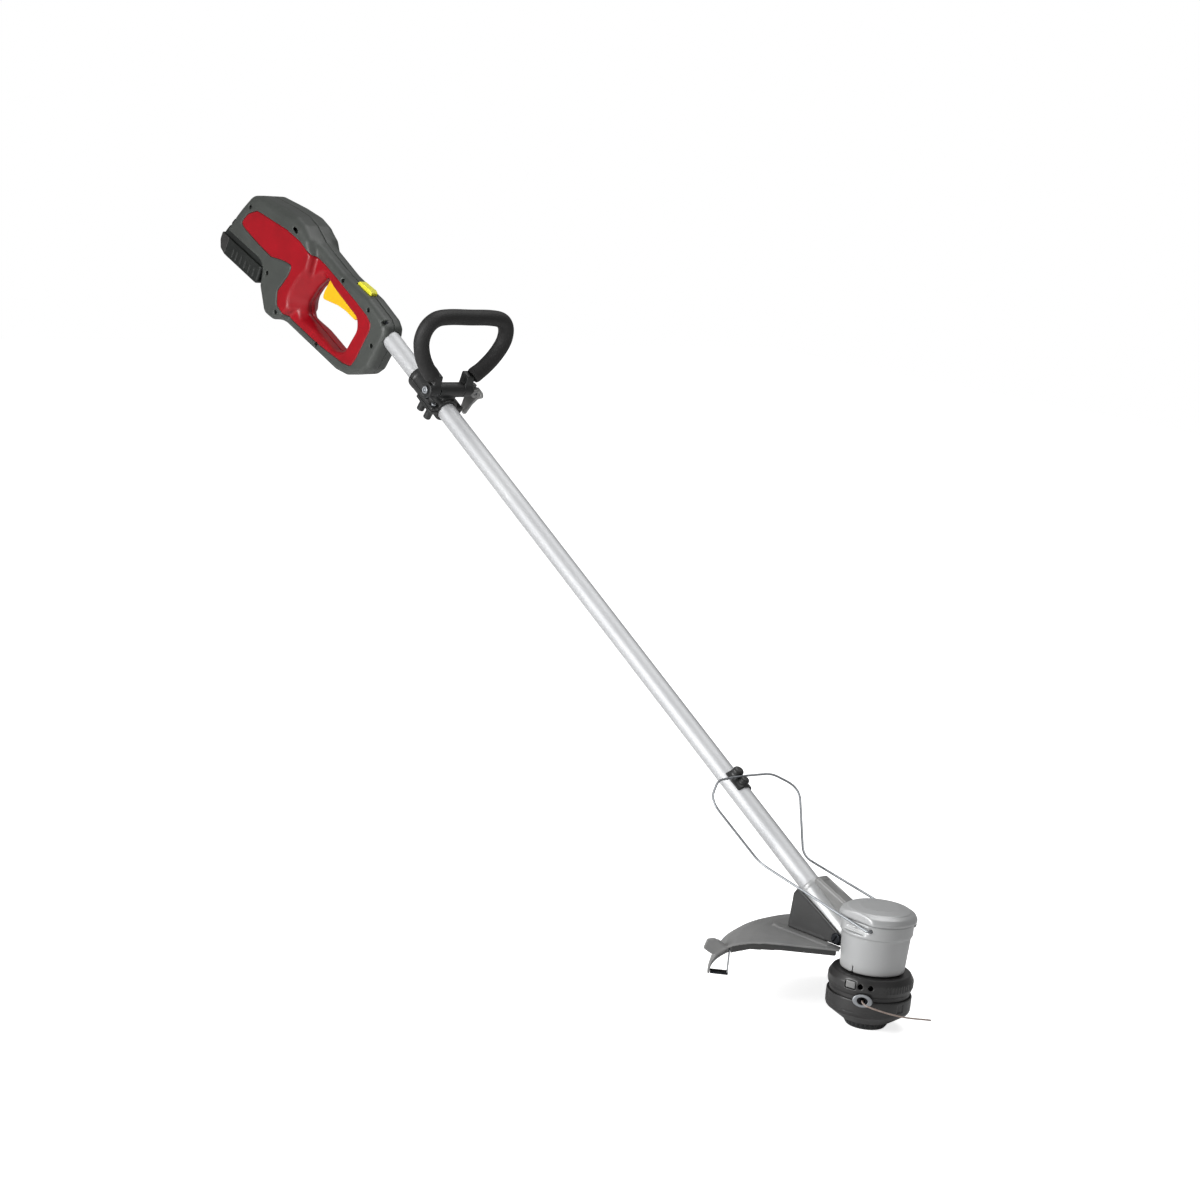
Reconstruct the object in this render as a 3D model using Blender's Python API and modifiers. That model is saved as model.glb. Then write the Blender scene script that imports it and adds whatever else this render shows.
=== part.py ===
# Cordless string trimmer: every piece at its real size, in metres, +Z up.
# The origin is the middle of the bump knob's flat, on the axis that the cutting head spins about.
# X points forward, away from the operator, and Y to the operator's left.
import math

import bmesh
import bpy
from mathutils import Matrix, Vector

# Shaft tube: it slopes up and back from the head, and its centre line crosses the head's axis.
SHAFT_ANGLE = math.radians(31.0)
AXIS_MEET_HEIGHT = 0.075
TUBE_RADIUS = 0.013
TUBE_WALL = 0.0015
TUBE_FRONT = 0.062
TUBE_INSERTION = 0.043
GAP = 0.0003
RUNNING_GAP = 0.0006

# Rear housing: two half shells split on the middle plane, with a hand opening.
HOUSING_FRONT = 1.187
HOUSING_WALL = 0.0030
COVER_SKIN = 0.0012
LOOP_HALF_WIDTH = 0.018
LOOP_ROUNDING = 0.009
BODY_HALF_WIDTH = 0.031
BODY_ROUNDING = 0.011
SPLIT_GAP = 0.00015

# Housing screws, all driven in from the operator's right.
SCREW_SHANK_RADIUS = 0.0018
SCREW_HEAD_RADIUS = 0.0030
SCREW_HEAD_HEIGHT = 0.0024
SCREW_SEAT = 0.008
SCREW_DEPTH = 0.018
BOSS_WALL = 0.0016

# Trigger, lock button and switch in the grip.
TRIGGER_PIVOT_S = 1.2620
TRIGGER_PIVOT_U = -0.0080
TRIGGER_HALF_WIDTH = 0.0065
TRIGGER_PIN_RADIUS = 0.0025
BUTTON_FRONT = 1.2600
BUTTON_LENGTH = 0.0345
BUTTON_HALF_WIDTH = 0.0060
BUTTON_TOP = 0.0285

# Battery pack: it slides out to the rear, on rails tilted to the tube.
BATTERY_TILT = math.radians(9.5)
BATTERY_S = 1.458
BATTERY_U = -0.114
BATTERY_LENGTH = 0.112
BATTERY_HALF_WIDTH = 0.031
BATTERY_RAIL_HALF_WIDTH = 0.0275
BATTERY_SHOWN_HEIGHT = 0.0287
BATTERY_HEIGHT = 0.058

# Loop handle and its clamp on the tube.
CLAMP_FRONT = 1.034
CLAMP_LENGTH = 0.076
CLAMP_RADIUS = 0.0175
HANDLE_PIVOT_S = 1.049
HANDLE_PIVOT_U = 0.026
BARREL_RADIUS = 0.0105
BARREL_HALF_LENGTH = 0.0215
RIGHT_KNUCKLE_LENGTH = 0.0185
LEFT_KNUCKLE_LENGTH = 0.0140
LOOP_BOLT_RADIUS = 0.004
LEVER_HUB_RADIUS = 0.0070
LEVER_PIN_Y = 0.0434
LEVER_PIN_RADIUS = 0.0016
CORE_RADIUS = 0.006
GRIP_RADIUS = 0.011
LOOP_LEAN = 0.26

# Wire guard, which swings over the head from its clip on the tube.
WIRE_RADIUS = 0.0015
GUARD_PIVOT_X = 0.0228
GUARD_PIVOT_Z = 0.1279
GUARD_LEG_Y = 0.0428
GUARD_CLIP_S = 0.303
CLIP_LENGTH = 0.030
CLIP_WALL = 0.0025

# Motor housing, cap and neck.
MOTOR_BASE_Z = 0.0715
MOTOR_BASE_RADIUS = 0.0391
MOTOR_SHOULDER_Z = 0.116
MOTOR_SHOULDER_RADIUS = 0.042
MOTOR_RIM_RADIUS = 0.0440
MOTOR_RIM_Z = 0.1345
MOTOR_BORE_RADIUS = 0.0360
CAP_RADIUS = 0.0470
CAP_TOP_Z = 0.1500
CAP_WALL = 0.0026
SIDE_FLAT_Y = 0.0396
NECK_RADIUS = 0.0172
NECK_END = 0.130
NECK_COVER_HALF_WIDTH = 0.0100

# Motor inside the housing, on the head's axis.
MOTOR_SHAFT_RADIUS = 0.0040
ROTOR_RADIUS = 0.0215
ROTOR_LOW = 0.0840
ROTOR_HIGH = 0.1040
BEARING_RADIUS = 0.0100
BEARING_HEIGHT = 0.0060

# Spinning head: housing, cover, spool, line and bump knob.
HEAD_RADIUS = 0.0520
HEAD_TOP_Z = 0.0700
HEAD_WALL = 0.0025
COVER_RIM_RADIUS = 0.0518
COVER_LOW_Z = 0.0090
KNOB_RADIUS = 0.0267
SPOOL_RADIUS = 0.0410
SPOOL_HUB_RADIUS = 0.0180
SPOOL_BORE_RADIUS = 0.0120
SPOOL_LOW = 0.0240
SPOOL_HIGH = 0.0450
FLANGE_THICKNESS = 0.0022
SPRING_WIRE_RADIUS = 0.0009
SPRING_TURNS = 4
EYELET_ANGLE = math.radians(-56.7)
EYELET_Z = 0.0445
EYELET_HALF_WIDTH = 0.0122
EYELET_HALF_HEIGHT = 0.0080
LINE_RADIUS = 0.0010

# Debris shield, its bracket under the neck, and the line cutter.
SHIELD_TOP_Z = AXIS_MEET_HEIGHT + 0.0140
SHIELD_RADIUS = 0.1970
SHIELD_ARCH = 0.0060
SHIELD_THICKNESS = 0.0028
SHIELD_FIRST_ANGLE = math.radians(131.0)
SHIELD_LAST_ANGLE = math.radians(226.0)
SHIELD_SKIRT_Z = 0.0415
BRACKET_PLATE = 0.0028
BRACKET_REAR_X = -0.125
BRACKET_APEX_Z = AXIS_MEET_HEIGHT + 0.066
BRACKET_SCREW_S = 0.0486
BRACKET_SCREW_U = -0.0027
BRACKET_SCREW_RADIUS = 0.0025
BRACKET_SCREW_HEAD = 0.0078
SHIELD_SCREW_RADIUS = 0.0020
BLADE_THICKNESS = 0.0016


# The scene is emptied, and gets one collection for the pieces and one for the cutters.
for old in list(bpy.data.objects):
    bpy.data.objects.remove(old, do_unlink=True)
PIECES = bpy.data.collections.new("string_trimmer")
CUTTERS = bpy.data.collections.new("cutters")
bpy.context.scene.collection.children.link(PIECES)
bpy.context.scene.collection.children.link(CUTTERS)


def material(name, color, roughness, metallic=0.0):
    made = bpy.data.materials.new(name)
    made.use_nodes = True
    shader = made.node_tree.nodes["Principled BSDF"]
    shader.inputs["Base Color"].default_value = (*color, 1.0)
    shader.inputs["Roughness"].default_value = roughness
    shader.inputs["Metallic"].default_value = metallic
    return made


# Frames: the shaft frame has X rearward along the tube, Y to the operator's right and Z up from the tube.
def empty(name, location=(0, 0, 0), rotation=(0, 0, 0), parent=None):
    made = bpy.data.objects.new(name, None)
    made.empty_display_size = 0.02
    made.location = location
    made.rotation_euler = rotation
    made.parent = parent
    PIECES.objects.link(made)
    return made


SHAFT = empty("shaft_frame", (0, 0, AXIS_MEET_HEIGHT), (0, -SHAFT_ANGLE, math.pi))
HEAD = empty("head_axis")


def shaft_point(s, y, u):
    """World place of a point given along the tube, to the operator's right, and up from the tube."""
    along = Vector((-math.cos(SHAFT_ANGLE), 0, math.sin(SHAFT_ANGLE)))
    up = Vector((math.sin(SHAFT_ANGLE), 0, math.cos(SHAFT_ANGLE)))
    return Vector((0, 0, AXIS_MEET_HEIGHT)) + along * s + up * u + Vector((0, -y, 0))


# Shapes: each helper gives a closed mesh object in the frame that its numbers are in.
def mesh_object(name, mesh):
    made = bpy.data.objects.new(name, mesh)
    CUTTERS.objects.link(made)
    return made


def baked(source, weld=0.000005):
    """The evaluated mesh of an object, welded, as a new object in place of the source."""
    graph = bpy.context.evaluated_depsgraph_get()
    mesh = bpy.data.meshes.new_from_object(source.evaluated_get(graph))
    mesh.transform(source.matrix_world)
    work = bmesh.new()
    work.from_mesh(mesh)
    bmesh.ops.remove_doubles(work, verts=work.verts, dist=weld)
    work.to_mesh(mesh)
    work.free()
    name = source.name
    bpy.data.objects.remove(source, do_unlink=True)
    return mesh_object(name, mesh)


def box(low, high):
    work = bmesh.new()
    size = Vector(high) - Vector(low)
    middle = (Vector(high) + Vector(low)) / 2
    matrix = Matrix.Translation(middle) @ Matrix.Diagonal((*size, 1.0))
    bmesh.ops.create_cube(work, size=1.0, matrix=matrix)
    mesh = bpy.data.meshes.new("box")
    work.to_mesh(mesh)
    work.free()
    return mesh_object("box", mesh)


def rounded_box(low, high, radius, segments=2):
    made = box(low, high)
    bevel = made.modifiers.new("rounded edges", "BEVEL")
    bevel.width = radius
    bevel.segments = segments
    return baked(made)


def rod(start, end, radius, end_radius=None, sides=16):
    """A cylinder or a cone between two points."""
    start = Vector(start)
    end = Vector(end)
    turn = Vector((0, 0, 1)).rotation_difference(end - start).to_matrix().to_4x4()
    work = bmesh.new()
    bmesh.ops.create_cone(work, cap_ends=True, segments=sides, radius1=radius,
                          radius2=radius if end_radius is None else end_radius, depth=(end - start).length,
                          matrix=Matrix.Translation((start + end) / 2) @ turn)
    mesh = bpy.data.meshes.new("rod")
    work.to_mesh(mesh)
    work.free()
    return mesh_object("rod", mesh)


def turned(profile, sides=40, closed=False):
    """A solid turned about Z from (radius, height) points that run down its outer side."""
    mesh = bpy.data.meshes.new("turned")
    points = [(radius, 0.0, height) for radius, height in profile]
    edges = [(i, i + 1) for i in range(len(points) - 1)]
    if closed:
        edges.append((len(points) - 1, 0))
    mesh.from_pydata(points, edges, [])
    made = mesh_object("turned", mesh)
    screw = made.modifiers.new("turned", "SCREW")
    screw.steps = sides
    screw.render_steps = sides
    screw.use_merge_vertices = True
    screw.merge_threshold = 0.00005
    screw.use_smooth_shade = False
    return baked(made)


def rounded_outline(points, radius, steps=3):
    """The outline with each corner replaced by a short arc."""
    out = []
    count = len(points)
    for i in range(count):
        here = Vector(points[i])
        before = (Vector(points[i - 1]) - here).normalized()
        after = (Vector(points[(i + 1) % count]) - here).normalized()
        half = before.angle(after) / 2
        reach = min(radius / math.tan(half), (Vector(points[i - 1]) - here).length * 0.45,
                    (Vector(points[(i + 1) % count]) - here).length * 0.45)
        first = here + before * reach
        last = here + after * reach
        for k in range(steps + 1):
            t = k / steps
            out.append(tuple(first * (1 - t) ** 2 + here * 2 * t * (1 - t) + last * t ** 2))
    return out


def plate(outlines, low, high, rounding=0.0, inset=0.0, segments=1):
    """Flat outlines, the first solid and the rest holes, made thick from low to high along the local Z."""
    curve = bpy.data.curves.new("plate", "CURVE")
    curve.dimensions = "2D"
    curve.fill_mode = "BOTH"
    curve.extrude = (high - low) / 2 - rounding
    curve.bevel_depth = rounding
    curve.bevel_resolution = segments
    curve.offset = -rounding - inset
    for index, outline in enumerate(outlines):
        area = sum(a[0] * b[1] - b[0] * a[1] for a, b in zip(outline, outline[1:] + outline[:1]))
        wanted = 1 if index == 0 else -1
        ordered = outline if area * wanted > 0 else outline[::-1]
        spline = curve.splines.new("POLY")
        spline.points.add(len(ordered) - 1)
        for point, (x, y) in zip(spline.points, ordered):
            point.co = (x, y, 0.0, 1.0)
        spline.use_cyclic_u = True
    made = bpy.data.objects.new("plate", curve)
    CUTTERS.objects.link(made)
    made.location = (0, 0, (low + high) / 2)
    bpy.context.view_layer.update()
    return baked(made)


def upright(made):
    """Turns a plate drawn in X and Y so that its outline lies in X and Z, with its thickness along Y."""
    made.data.transform(Matrix.Rotation(math.radians(90), 4, "X"))
    return made


def side_plate(outlines, low, high, rounding=0.0, inset=0.0, segments=1):
    """A plate whose outline is in X and Z, from low to high along Y."""
    return upright(plate(outlines, -high, -low, rounding, inset, segments))


def wire(points, radius, resolution=2):
    curve = bpy.data.curves.new("wire", "CURVE")
    curve.dimensions = "3D"
    curve.bevel_depth = radius
    curve.bevel_resolution = resolution
    curve.use_fill_caps = True
    spline = curve.splines.new("POLY")
    spline.points.add(len(points) - 1)
    for point, place in zip(spline.points, points):
        point.co = (*place, 1.0)
    made = bpy.data.objects.new("wire", curve)
    CUTTERS.objects.link(made)
    bpy.context.view_layer.update()
    return baked(made)


def smooth_route(points, spacing):
    """Points at an even spacing on a smooth curve through the given ones."""
    places = [Vector(p) for p in points]
    places = [places[0] * 2 - places[1]] + places + [places[-1] * 2 - places[-2]]
    dense = []
    for a, b, c, d in zip(places, places[1:], places[2:], places[3:]):
        for k in range(24):
            t = k / 24
            dense.append(0.5 * (2 * b + (c - a) * t + (2 * a - 5 * b + 4 * c - d) * t * t
                                + (3 * b - 3 * c + d - a) * t ** 3))
    dense.append(places[-2])
    total = sum((q - p).length for p, q in zip(dense, dense[1:]))
    count = max(2, round(total / spacing))
    out = [dense[0]]
    walked = 0.0
    for p, q in zip(dense, dense[1:]):
        step = (q - p).length
        while len(out) < count and walked + step >= total * len(out) / count:
            out.append(p.lerp(q, (total * len(out) / count - walked) / step))
        walked += step
    out.append(dense[-1])
    return out


def combine(made, others, operation):
    """One exact Boolean of a shape with a group of others, which it uses up."""
    group = bpy.data.collections.new("operands")
    for other in others:
        group.objects.link(other)
        other.hide_render = True
        other.display_type = "WIRE"
    boolean = made.modifiers.new(operation.lower(), "BOOLEAN")
    boolean.operation = operation
    boolean.solver = "EXACT"
    boolean.operand_type = "COLLECTION"
    boolean.collection = group
    bpy.context.view_layer.update()
    result = baked(made, 0.0000005)
    for other in others:
        bpy.data.objects.remove(other, do_unlink=True)
    bpy.data.collections.remove(group)
    return result


def cut(made, *cutters):
    return combine(made, cutters, "DIFFERENCE")


def join(made, *others):
    return combine(made, others, "UNION")


def inside(made, *others):
    return combine(made, others, "INTERSECT")


def moved(made, matrix):
    made.data.transform(matrix)
    return made


def piece(name, made, finish, parent):
    """Names a finished shape, gives it its material and hangs it on its frame or its joint's empty."""
    made.name = name
    made.data.name = name
    made.data.materials.clear()
    made.data.materials.append(material(name + "_" + finish[0], *finish[1:]))
    made.data.shade_smooth()
    made.data.set_sharp_from_angle(angle=math.radians(35))
    CUTTERS.objects.unlink(made)
    PIECES.objects.link(made)
    frame, offset = parent
    made.parent = frame
    made.location = -Vector(offset)
    return made


# The frames that pieces hang on: each joint has an empty on its axis, with the offset of its place.
ON_SHAFT = (SHAFT, (0, 0, 0))
ON_HEAD = (HEAD, (0, 0, 0))


def joint_empty(name, place, frame, rotation=(0, 0, 0)):
    return (empty(name, place, rotation, frame), place)


TRIGGER_PIVOT = joint_empty("trigger_pivot", (TRIGGER_PIVOT_S, 0, TRIGGER_PIVOT_U), SHAFT)
BUTTON_SLIDE = joint_empty("button_slide", (BUTTON_FRONT + BUTTON_LENGTH / 2, 0, BUTTON_TOP), SHAFT)
CLAMP_SLIDE = joint_empty("clamp_slide", (CLAMP_FRONT, 0, 0), SHAFT)
HANDLE_PIVOT = joint_empty("handle_pivot", (HANDLE_PIVOT_S, 0, HANDLE_PIVOT_U), SHAFT)
LEVER_PIVOT = joint_empty("lever_pivot", (HANDLE_PIVOT_S, -LEVER_PIN_Y, HANDLE_PIVOT_U), SHAFT)
BATTERY_SLIDE = (empty("battery_slide", (BATTERY_S, 0, BATTERY_U), (0, BATTERY_TILT, 0), SHAFT), (0, 0, 0))
GUARD_PIVOT = joint_empty("guard_pivot", (GUARD_PIVOT_X, 0, GUARD_PIVOT_Z), HEAD)
HEAD_SPIN = joint_empty("head_spin", (0, 0, HEAD_TOP_Z), HEAD)
BUMP_SLIDE = joint_empty("bump_slide", (0, 0, SPOOL_LOW), HEAD)

GREY_PLASTIC = ("grey_glass_filled_nylon", (0.075, 0.08, 0.075), 0.55)
RED_PLASTIC = ("red_gloss_abs", (0.45, 0.004, 0.012), 0.3)
YELLOW_PLASTIC = ("yellow_acetal", (0.86, 0.5, 0.01), 0.4)
LIME_PLASTIC = ("lime_acetal", (0.68, 0.7, 0.06), 0.4)
BLACK_PLASTIC = ("black_nylon", (0.02, 0.02, 0.02), 0.5)
BLACK_FOAM = ("black_foam_rubber", (0.015, 0.015, 0.015), 0.8)
SHIELD_PLASTIC = ("mid_grey_polypropylene", (0.2, 0.2, 0.2), 0.6)
SILVER_PLASTIC = ("silver_painted_nylon", (0.55, 0.55, 0.55), 0.35, 0.6)
BRACKET_GREY = ("dark_grey_polypropylene", (0.065, 0.065, 0.065), 0.5)
NECK_GREY = ("grey_painted_nylon", (0.30, 0.30, 0.30), 0.45, 0.2)
ALUMINIUM = ("satin_anodised_aluminium", (0.7, 0.7, 0.71), 0.3, 1.0)
STEEL = ("zinc_plated_steel", (0.55, 0.55, 0.55), 0.3, 1.0)
BLACK_STEEL = ("black_oxide_steel", (0.03, 0.03, 0.03), 0.4, 0.8)
COPPER = ("enamelled_copper", (0.5, 0.2, 0.08), 0.35, 0.9)
BOARD_GREEN = ("green_circuit_board", (0.02, 0.18, 0.06), 0.5)
NYLON_LINE = ("nylon_cutting_line", (0.25, 0.2, 0.16), 0.4)
CELL_SLEEVE = ("blue_cell_sleeve", (0.05, 0.15, 0.4), 0.4)
CABLE_RUBBER = ("black_cable_rubber", (0.02, 0.02, 0.02), 0.7)


# Shaft tube: drawn aluminium, from the neck socket to inside the rear housing.
TUBE_REAR = HOUSING_FRONT + TUBE_INSERTION


def shaft_tube():
    outer = rod((TUBE_FRONT, 0, 0), (TUBE_REAR, 0, 0), TUBE_RADIUS, sides=32)
    bore = rod((TUBE_FRONT - 0.01, 0, 0), (TUBE_REAR + 0.01, 0, 0), TUBE_RADIUS - TUBE_WALL, sides=32)
    piece("shaft_tube", cut(outer, bore), ALUMINIUM, ON_SHAFT)


# Rear housing outlines, in distance along the tube and height above it.
LOOP_OUTLINE = [(HOUSING_FRONT, -0.052), (HOUSING_FRONT, 0.006), (1.193, 0.018), (1.207, 0.0235),
                (1.252, 0.024), (1.318, 0.0155), (1.392, 0.0140), (1.430, 0.0140), (1.430, -0.122),
                (1.400, -0.127), (1.305, -0.112), (1.249, -0.103), (1.226, -0.094), (1.194, -0.066)]
HAND_OPENING = [(1.256, -0.0165), (1.350, -0.0165), (1.361, -0.045), (1.365, -0.075), (1.356, -0.087),
                (1.268, -0.082), (1.250, -0.070), (1.247, -0.028)]
BODY_OUTLINE = [(1.400, 0.0145), (1.424, 0.0205), (1.448, 0.0195), (1.484, 0.009), (1.536, -0.010),
                (1.551, -0.022), (1.559, -0.050), (1.5725, -0.1035), (1.468, -0.0860), (1.456, -0.113),
                (1.421, -0.139), (1.400, -0.133), (1.383, -0.118), (1.370, -0.088), (1.369, -0.040),
                (1.380, -0.002)]
COVER_OUTLINE = [(1.545, -0.067), (1.538, -0.045), (1.524, -0.029), (1.509, -0.024), (1.489, -0.018),
                 (1.449, -0.003), (1.413, 0.006), (1.378, 0.0095), (1.358, 0.005), (1.313, 0.004),
                 (1.271, 0.004), (1.239, 0.004), (1.224, 0.001), (1.220, -0.007), (1.219, -0.059),
                 (1.222, -0.075), (1.239, -0.083), (1.303, -0.099), (1.373, -0.110), (1.400, -0.106),
                 (1.411, -0.088), (1.405, -0.058), (1.405, -0.038), (1.428, -0.046), (1.455, -0.060),
                 (1.487, -0.064), (1.525, -0.067)]
HOUSING_SCREWS = [(1.432, 0.006), (1.447, -0.084), (1.396, -0.116), (1.304, -0.1015), (1.312, 0.0085),
                  (1.240, 0.0130), (1.204, 0.0185), (1.203, -0.0220), (1.540, -0.034)]
BAY_CLEARANCE = 0.0005
BAY_CEILING = BATTERY_HEIGHT + 0.0008


def housing_body(inset):
    """The outer form of the rear housing, or with an inset the hollow inside its walls."""
    loop_round = LOOP_ROUNDING - inset
    body_round = BODY_ROUNDING - inset
    loop = side_plate([LOOP_OUTLINE, HAND_OPENING], inset - LOOP_HALF_WIDTH, LOOP_HALF_WIDTH - inset,
                      loop_round, inset)
    body = side_plate([BODY_OUTLINE], inset - BODY_HALF_WIDTH, BODY_HALF_WIDTH - inset, body_round, inset)
    return join(loop, body)


def battery_frame(made):
    """Takes a shape from the battery's tilted frame to the shaft's frame."""
    return moved(made, Matrix.Translation((BATTERY_S, 0, BATTERY_U)) @ Matrix.Rotation(BATTERY_TILT, 4,
                                                                                       "Y"))


def trigger_slot():
    wide = TRIGGER_HALF_WIDTH + RUNNING_GAP
    return box((TRIGGER_PIVOT_S - 0.0055, -wide, -0.060), (TRIGGER_PIVOT_S + 0.0905, wide, 0.0045))


def housing_half(side):
    """One half shell with its bosses: side is 1 for the operator's right and -1 for the left."""
    solids = [battery_frame(box((-0.0135, -0.04, BAY_CEILING), (0.130, 0.04, BAY_CEILING + 0.002))),
              battery_frame(box((-0.0135, -0.04, -0.03), (-0.011, 0.04, BAY_CEILING + 0.001)))]
    for s, u in HOUSING_SCREWS:
        solids.append(rod((s, -0.04, u), (s, 0.04, u), SCREW_HEAD_RADIUS + BOSS_WALL, sides=12))
    solids.append(rod((TRIGGER_PIVOT_S, -0.04, TRIGGER_PIVOT_U), (TRIGGER_PIVOT_S, 0.04, TRIGGER_PIVOT_U),
                      TRIGGER_PIN_RADIUS + 0.0025, sides=12))
    hollow = cut(housing_body(HOUSING_WALL), *solids)
    shell = cut(housing_body(0.0), hollow)
    far = BODY_HALF_WIDTH + 0.01
    if side > 0:
        half = box((1.1, SPLIT_GAP, -0.2), (1.65, far, 0.1))
    else:
        half = box((1.1, -far, -0.2), (1.65, -SPLIT_GAP, 0.1))
    shell = inside(shell, half)
    rail = BATTERY_RAIL_HALF_WIDTH + BAY_CLEARANCE
    button_front = BUTTON_FRONT - RUNNING_GAP
    button_rear = BUTTON_FRONT + BUTTON_LENGTH + RUNNING_GAP
    button_wide = BUTTON_HALF_WIDTH + RUNNING_GAP
    cutters = [rod((1.15, 0, 0), (TUBE_REAR + GAP, 0, 0), TUBE_RADIUS + GAP, sides=32),
               battery_frame(box((-0.0109, -rail, 0.004), (0.16, rail, BAY_CEILING))),
               battery_frame(box((-BAY_CLEARANCE, -0.05, -0.03),
                                 (0.16, 0.05, BATTERY_SHOWN_HEIGHT + BAY_CLEARANCE))),
               trigger_slot(),
               box((button_front, -button_wide, 0.006), (button_rear, button_wide, 0.040)),
               rod((TRIGGER_PIVOT_S, -0.0125, TRIGGER_PIVOT_U), (TRIGGER_PIVOT_S, 0.0125, TRIGGER_PIVOT_U),
                   TRIGGER_PIN_RADIUS + GAP, sides=14)]
    for s, u in HOUSING_SCREWS:
        cutters.append(rod((s, -SCREW_DEPTH + SCREW_SEAT, u), (s, 0.05, u), SCREW_SHANK_RADIUS + GAP,
                           sides=12))
        if side > 0:
            cutters.append(rod((s, SCREW_SEAT, u), (s, 0.05, u), SCREW_HEAD_RADIUS + GAP, sides=14))
    return cut(shell, *cutters)


def rear_housing():
    for side, word in ((1, "right"), (-1, "left")):
        low, high = (SPLIT_GAP, 0.06) if side > 0 else (-0.06, -SPLIT_GAP)
        panel = side_plate([COVER_OUTLINE], low, high, 0.0, SPLIT_GAP)
        skin = cut(housing_body(0.0), housing_body(COVER_SKIN), trigger_slot())
        piece("grip_cover_" + word, inside(skin, panel), RED_PLASTIC, ON_SHAFT)
        recess = side_plate([COVER_OUTLINE], low - 0.001, high + 0.001, 0.0, -SPLIT_GAP)
        recess = cut(recess, housing_body(COVER_SKIN + GAP))
        piece("housing_" + word, cut(housing_half(side), recess), GREY_PLASTIC, ON_SHAFT)


def housing_screws():
    for number, (s, u) in enumerate(HOUSING_SCREWS, start=1):
        seat = SCREW_SEAT + GAP
        shank = rod((s, seat - SCREW_DEPTH + 0.001, u), (s, seat + 0.0005, u), SCREW_SHANK_RADIUS, sides=10)
        head = rod((s, seat, u), (s, seat + SCREW_HEAD_HEIGHT, u), SCREW_HEAD_RADIUS, sides=12)
        piece("housing_screw_%d" % number, join(head, shank), BLACK_STEEL, ON_SHAFT)


# Grip fittings: the trigger hangs on pins in the shells, and the lock button stands in a slot in the top.
def trigger():
    s, u = TRIGGER_PIVOT_S, TRIGGER_PIVOT_U
    outline = [(s - 0.0035, u + 0.0035), (s - 0.004, u - 0.006), (s + 0.0045, u - 0.019), (s + 0.049,
                                                                                           u - 0.0275),
               (s + 0.083, u - 0.042), (s + 0.086, u - 0.030), (s + 0.085, u), (s + 0.080, u + 0.0035)]
    blade = side_plate([outline], -TRIGGER_HALF_WIDTH, TRIGGER_HALF_WIDTH, 0.0012)
    pin = rod((s, -0.0122, u), (s, 0.0122, u), TRIGGER_PIN_RADIUS, sides=14)
    piece("trigger", join(blade, pin), YELLOW_PLASTIC, TRIGGER_PIVOT)


def lock_button():
    front, rear = BUTTON_FRONT, BUTTON_FRONT + BUTTON_LENGTH
    outline = [(front, 0.0085), (rear, 0.0085), (rear, BUTTON_TOP - 0.0075), (rear - 0.003,
                                                                              BUTTON_TOP - 0.0050),
               (front + 0.005, BUTTON_TOP), (front, BUTTON_TOP - 0.0020)]
    cap = side_plate([outline], -BUTTON_HALF_WIDTH, BUTTON_HALF_WIDTH, 0.0008)
    wide = BUTTON_HALF_WIDTH + 0.0025
    flange = box((front - 0.002, -wide, 0.0080), (rear + 0.002, wide, 0.0100))
    piece("lock_button", join(cap, flange), LIME_PLASTIC, BUTTON_SLIDE)


def trigger_switch():
    front = TRIGGER_PIVOT_S + 0.0955
    side = LOOP_HALF_WIDTH - HOUSING_WALL - GAP
    case = rounded_box((front, -0.0070, -0.0120), (front + 0.0260, side, 0.0060), 0.0006, 1)
    plunger = rod((front - 0.0075, 0, -0.0060), (front + 0.002, 0, -0.0060), 0.0015, sides=10)
    piece("trigger_switch", join(case, plunger), BLACK_PLASTIC, ON_SHAFT)


# Electronics above the battery bay: all of it stands in the battery's tilted frame.
def control_board():
    wide = BODY_HALF_WIDTH - HOUSING_WALL - GAP
    level = BAY_CEILING + 0.0095
    board = box((-0.030, -wide, level), (0.078, wide, level + 0.0016))
    piece("control_board", battery_frame(board), BOARD_GREEN, ON_SHAFT)
    low = level + 0.0016 + GAP
    base = box((-0.005, -0.022, low), (0.055, 0.022, low + 0.003))
    fins = [box((-0.005, y - 0.001, low + 0.002), (0.055, y + 0.001, low + 0.0115))
            for y in (-0.021, -0.0126, -0.0042, 0.0042, 0.0126, 0.021)]
    piece("heat_sink", battery_frame(join(base, *fins)), ALUMINIUM, ON_SHAFT)


CONTACT_PITCH = 0.010
CONTACT_LOW = 0.038
CONTACT_HIGH = 0.050


def terminal_block():
    block = box((-0.0106, -0.018, 0.033), (-0.0006, 0.018, BAY_CEILING - GAP))
    blades = [box((-0.002, n * CONTACT_PITCH - 0.0004, CONTACT_LOW), (0.0070, n * CONTACT_PITCH + 0.0004,
                                                                      CONTACT_HIGH)) for n in (-1, 0, 1)]
    piece("battery_terminal_block", battery_frame(join(block, *blades)), BLACK_PLASTIC, ON_SHAFT)


# Battery pack: a wide lower tray that shows, a narrow upper case on the rails, and the cells.
CASE_FRONT = 0.0028
CASE_SKIRT = 0.0250
CASE_SLANT = 0.0150
CELL_FRONT = 0.0095
LATCH_LOW = 0.0135
LATCH_HIGH = 0.0225
LATCH_HALF_WIDTH = 0.0120


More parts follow.
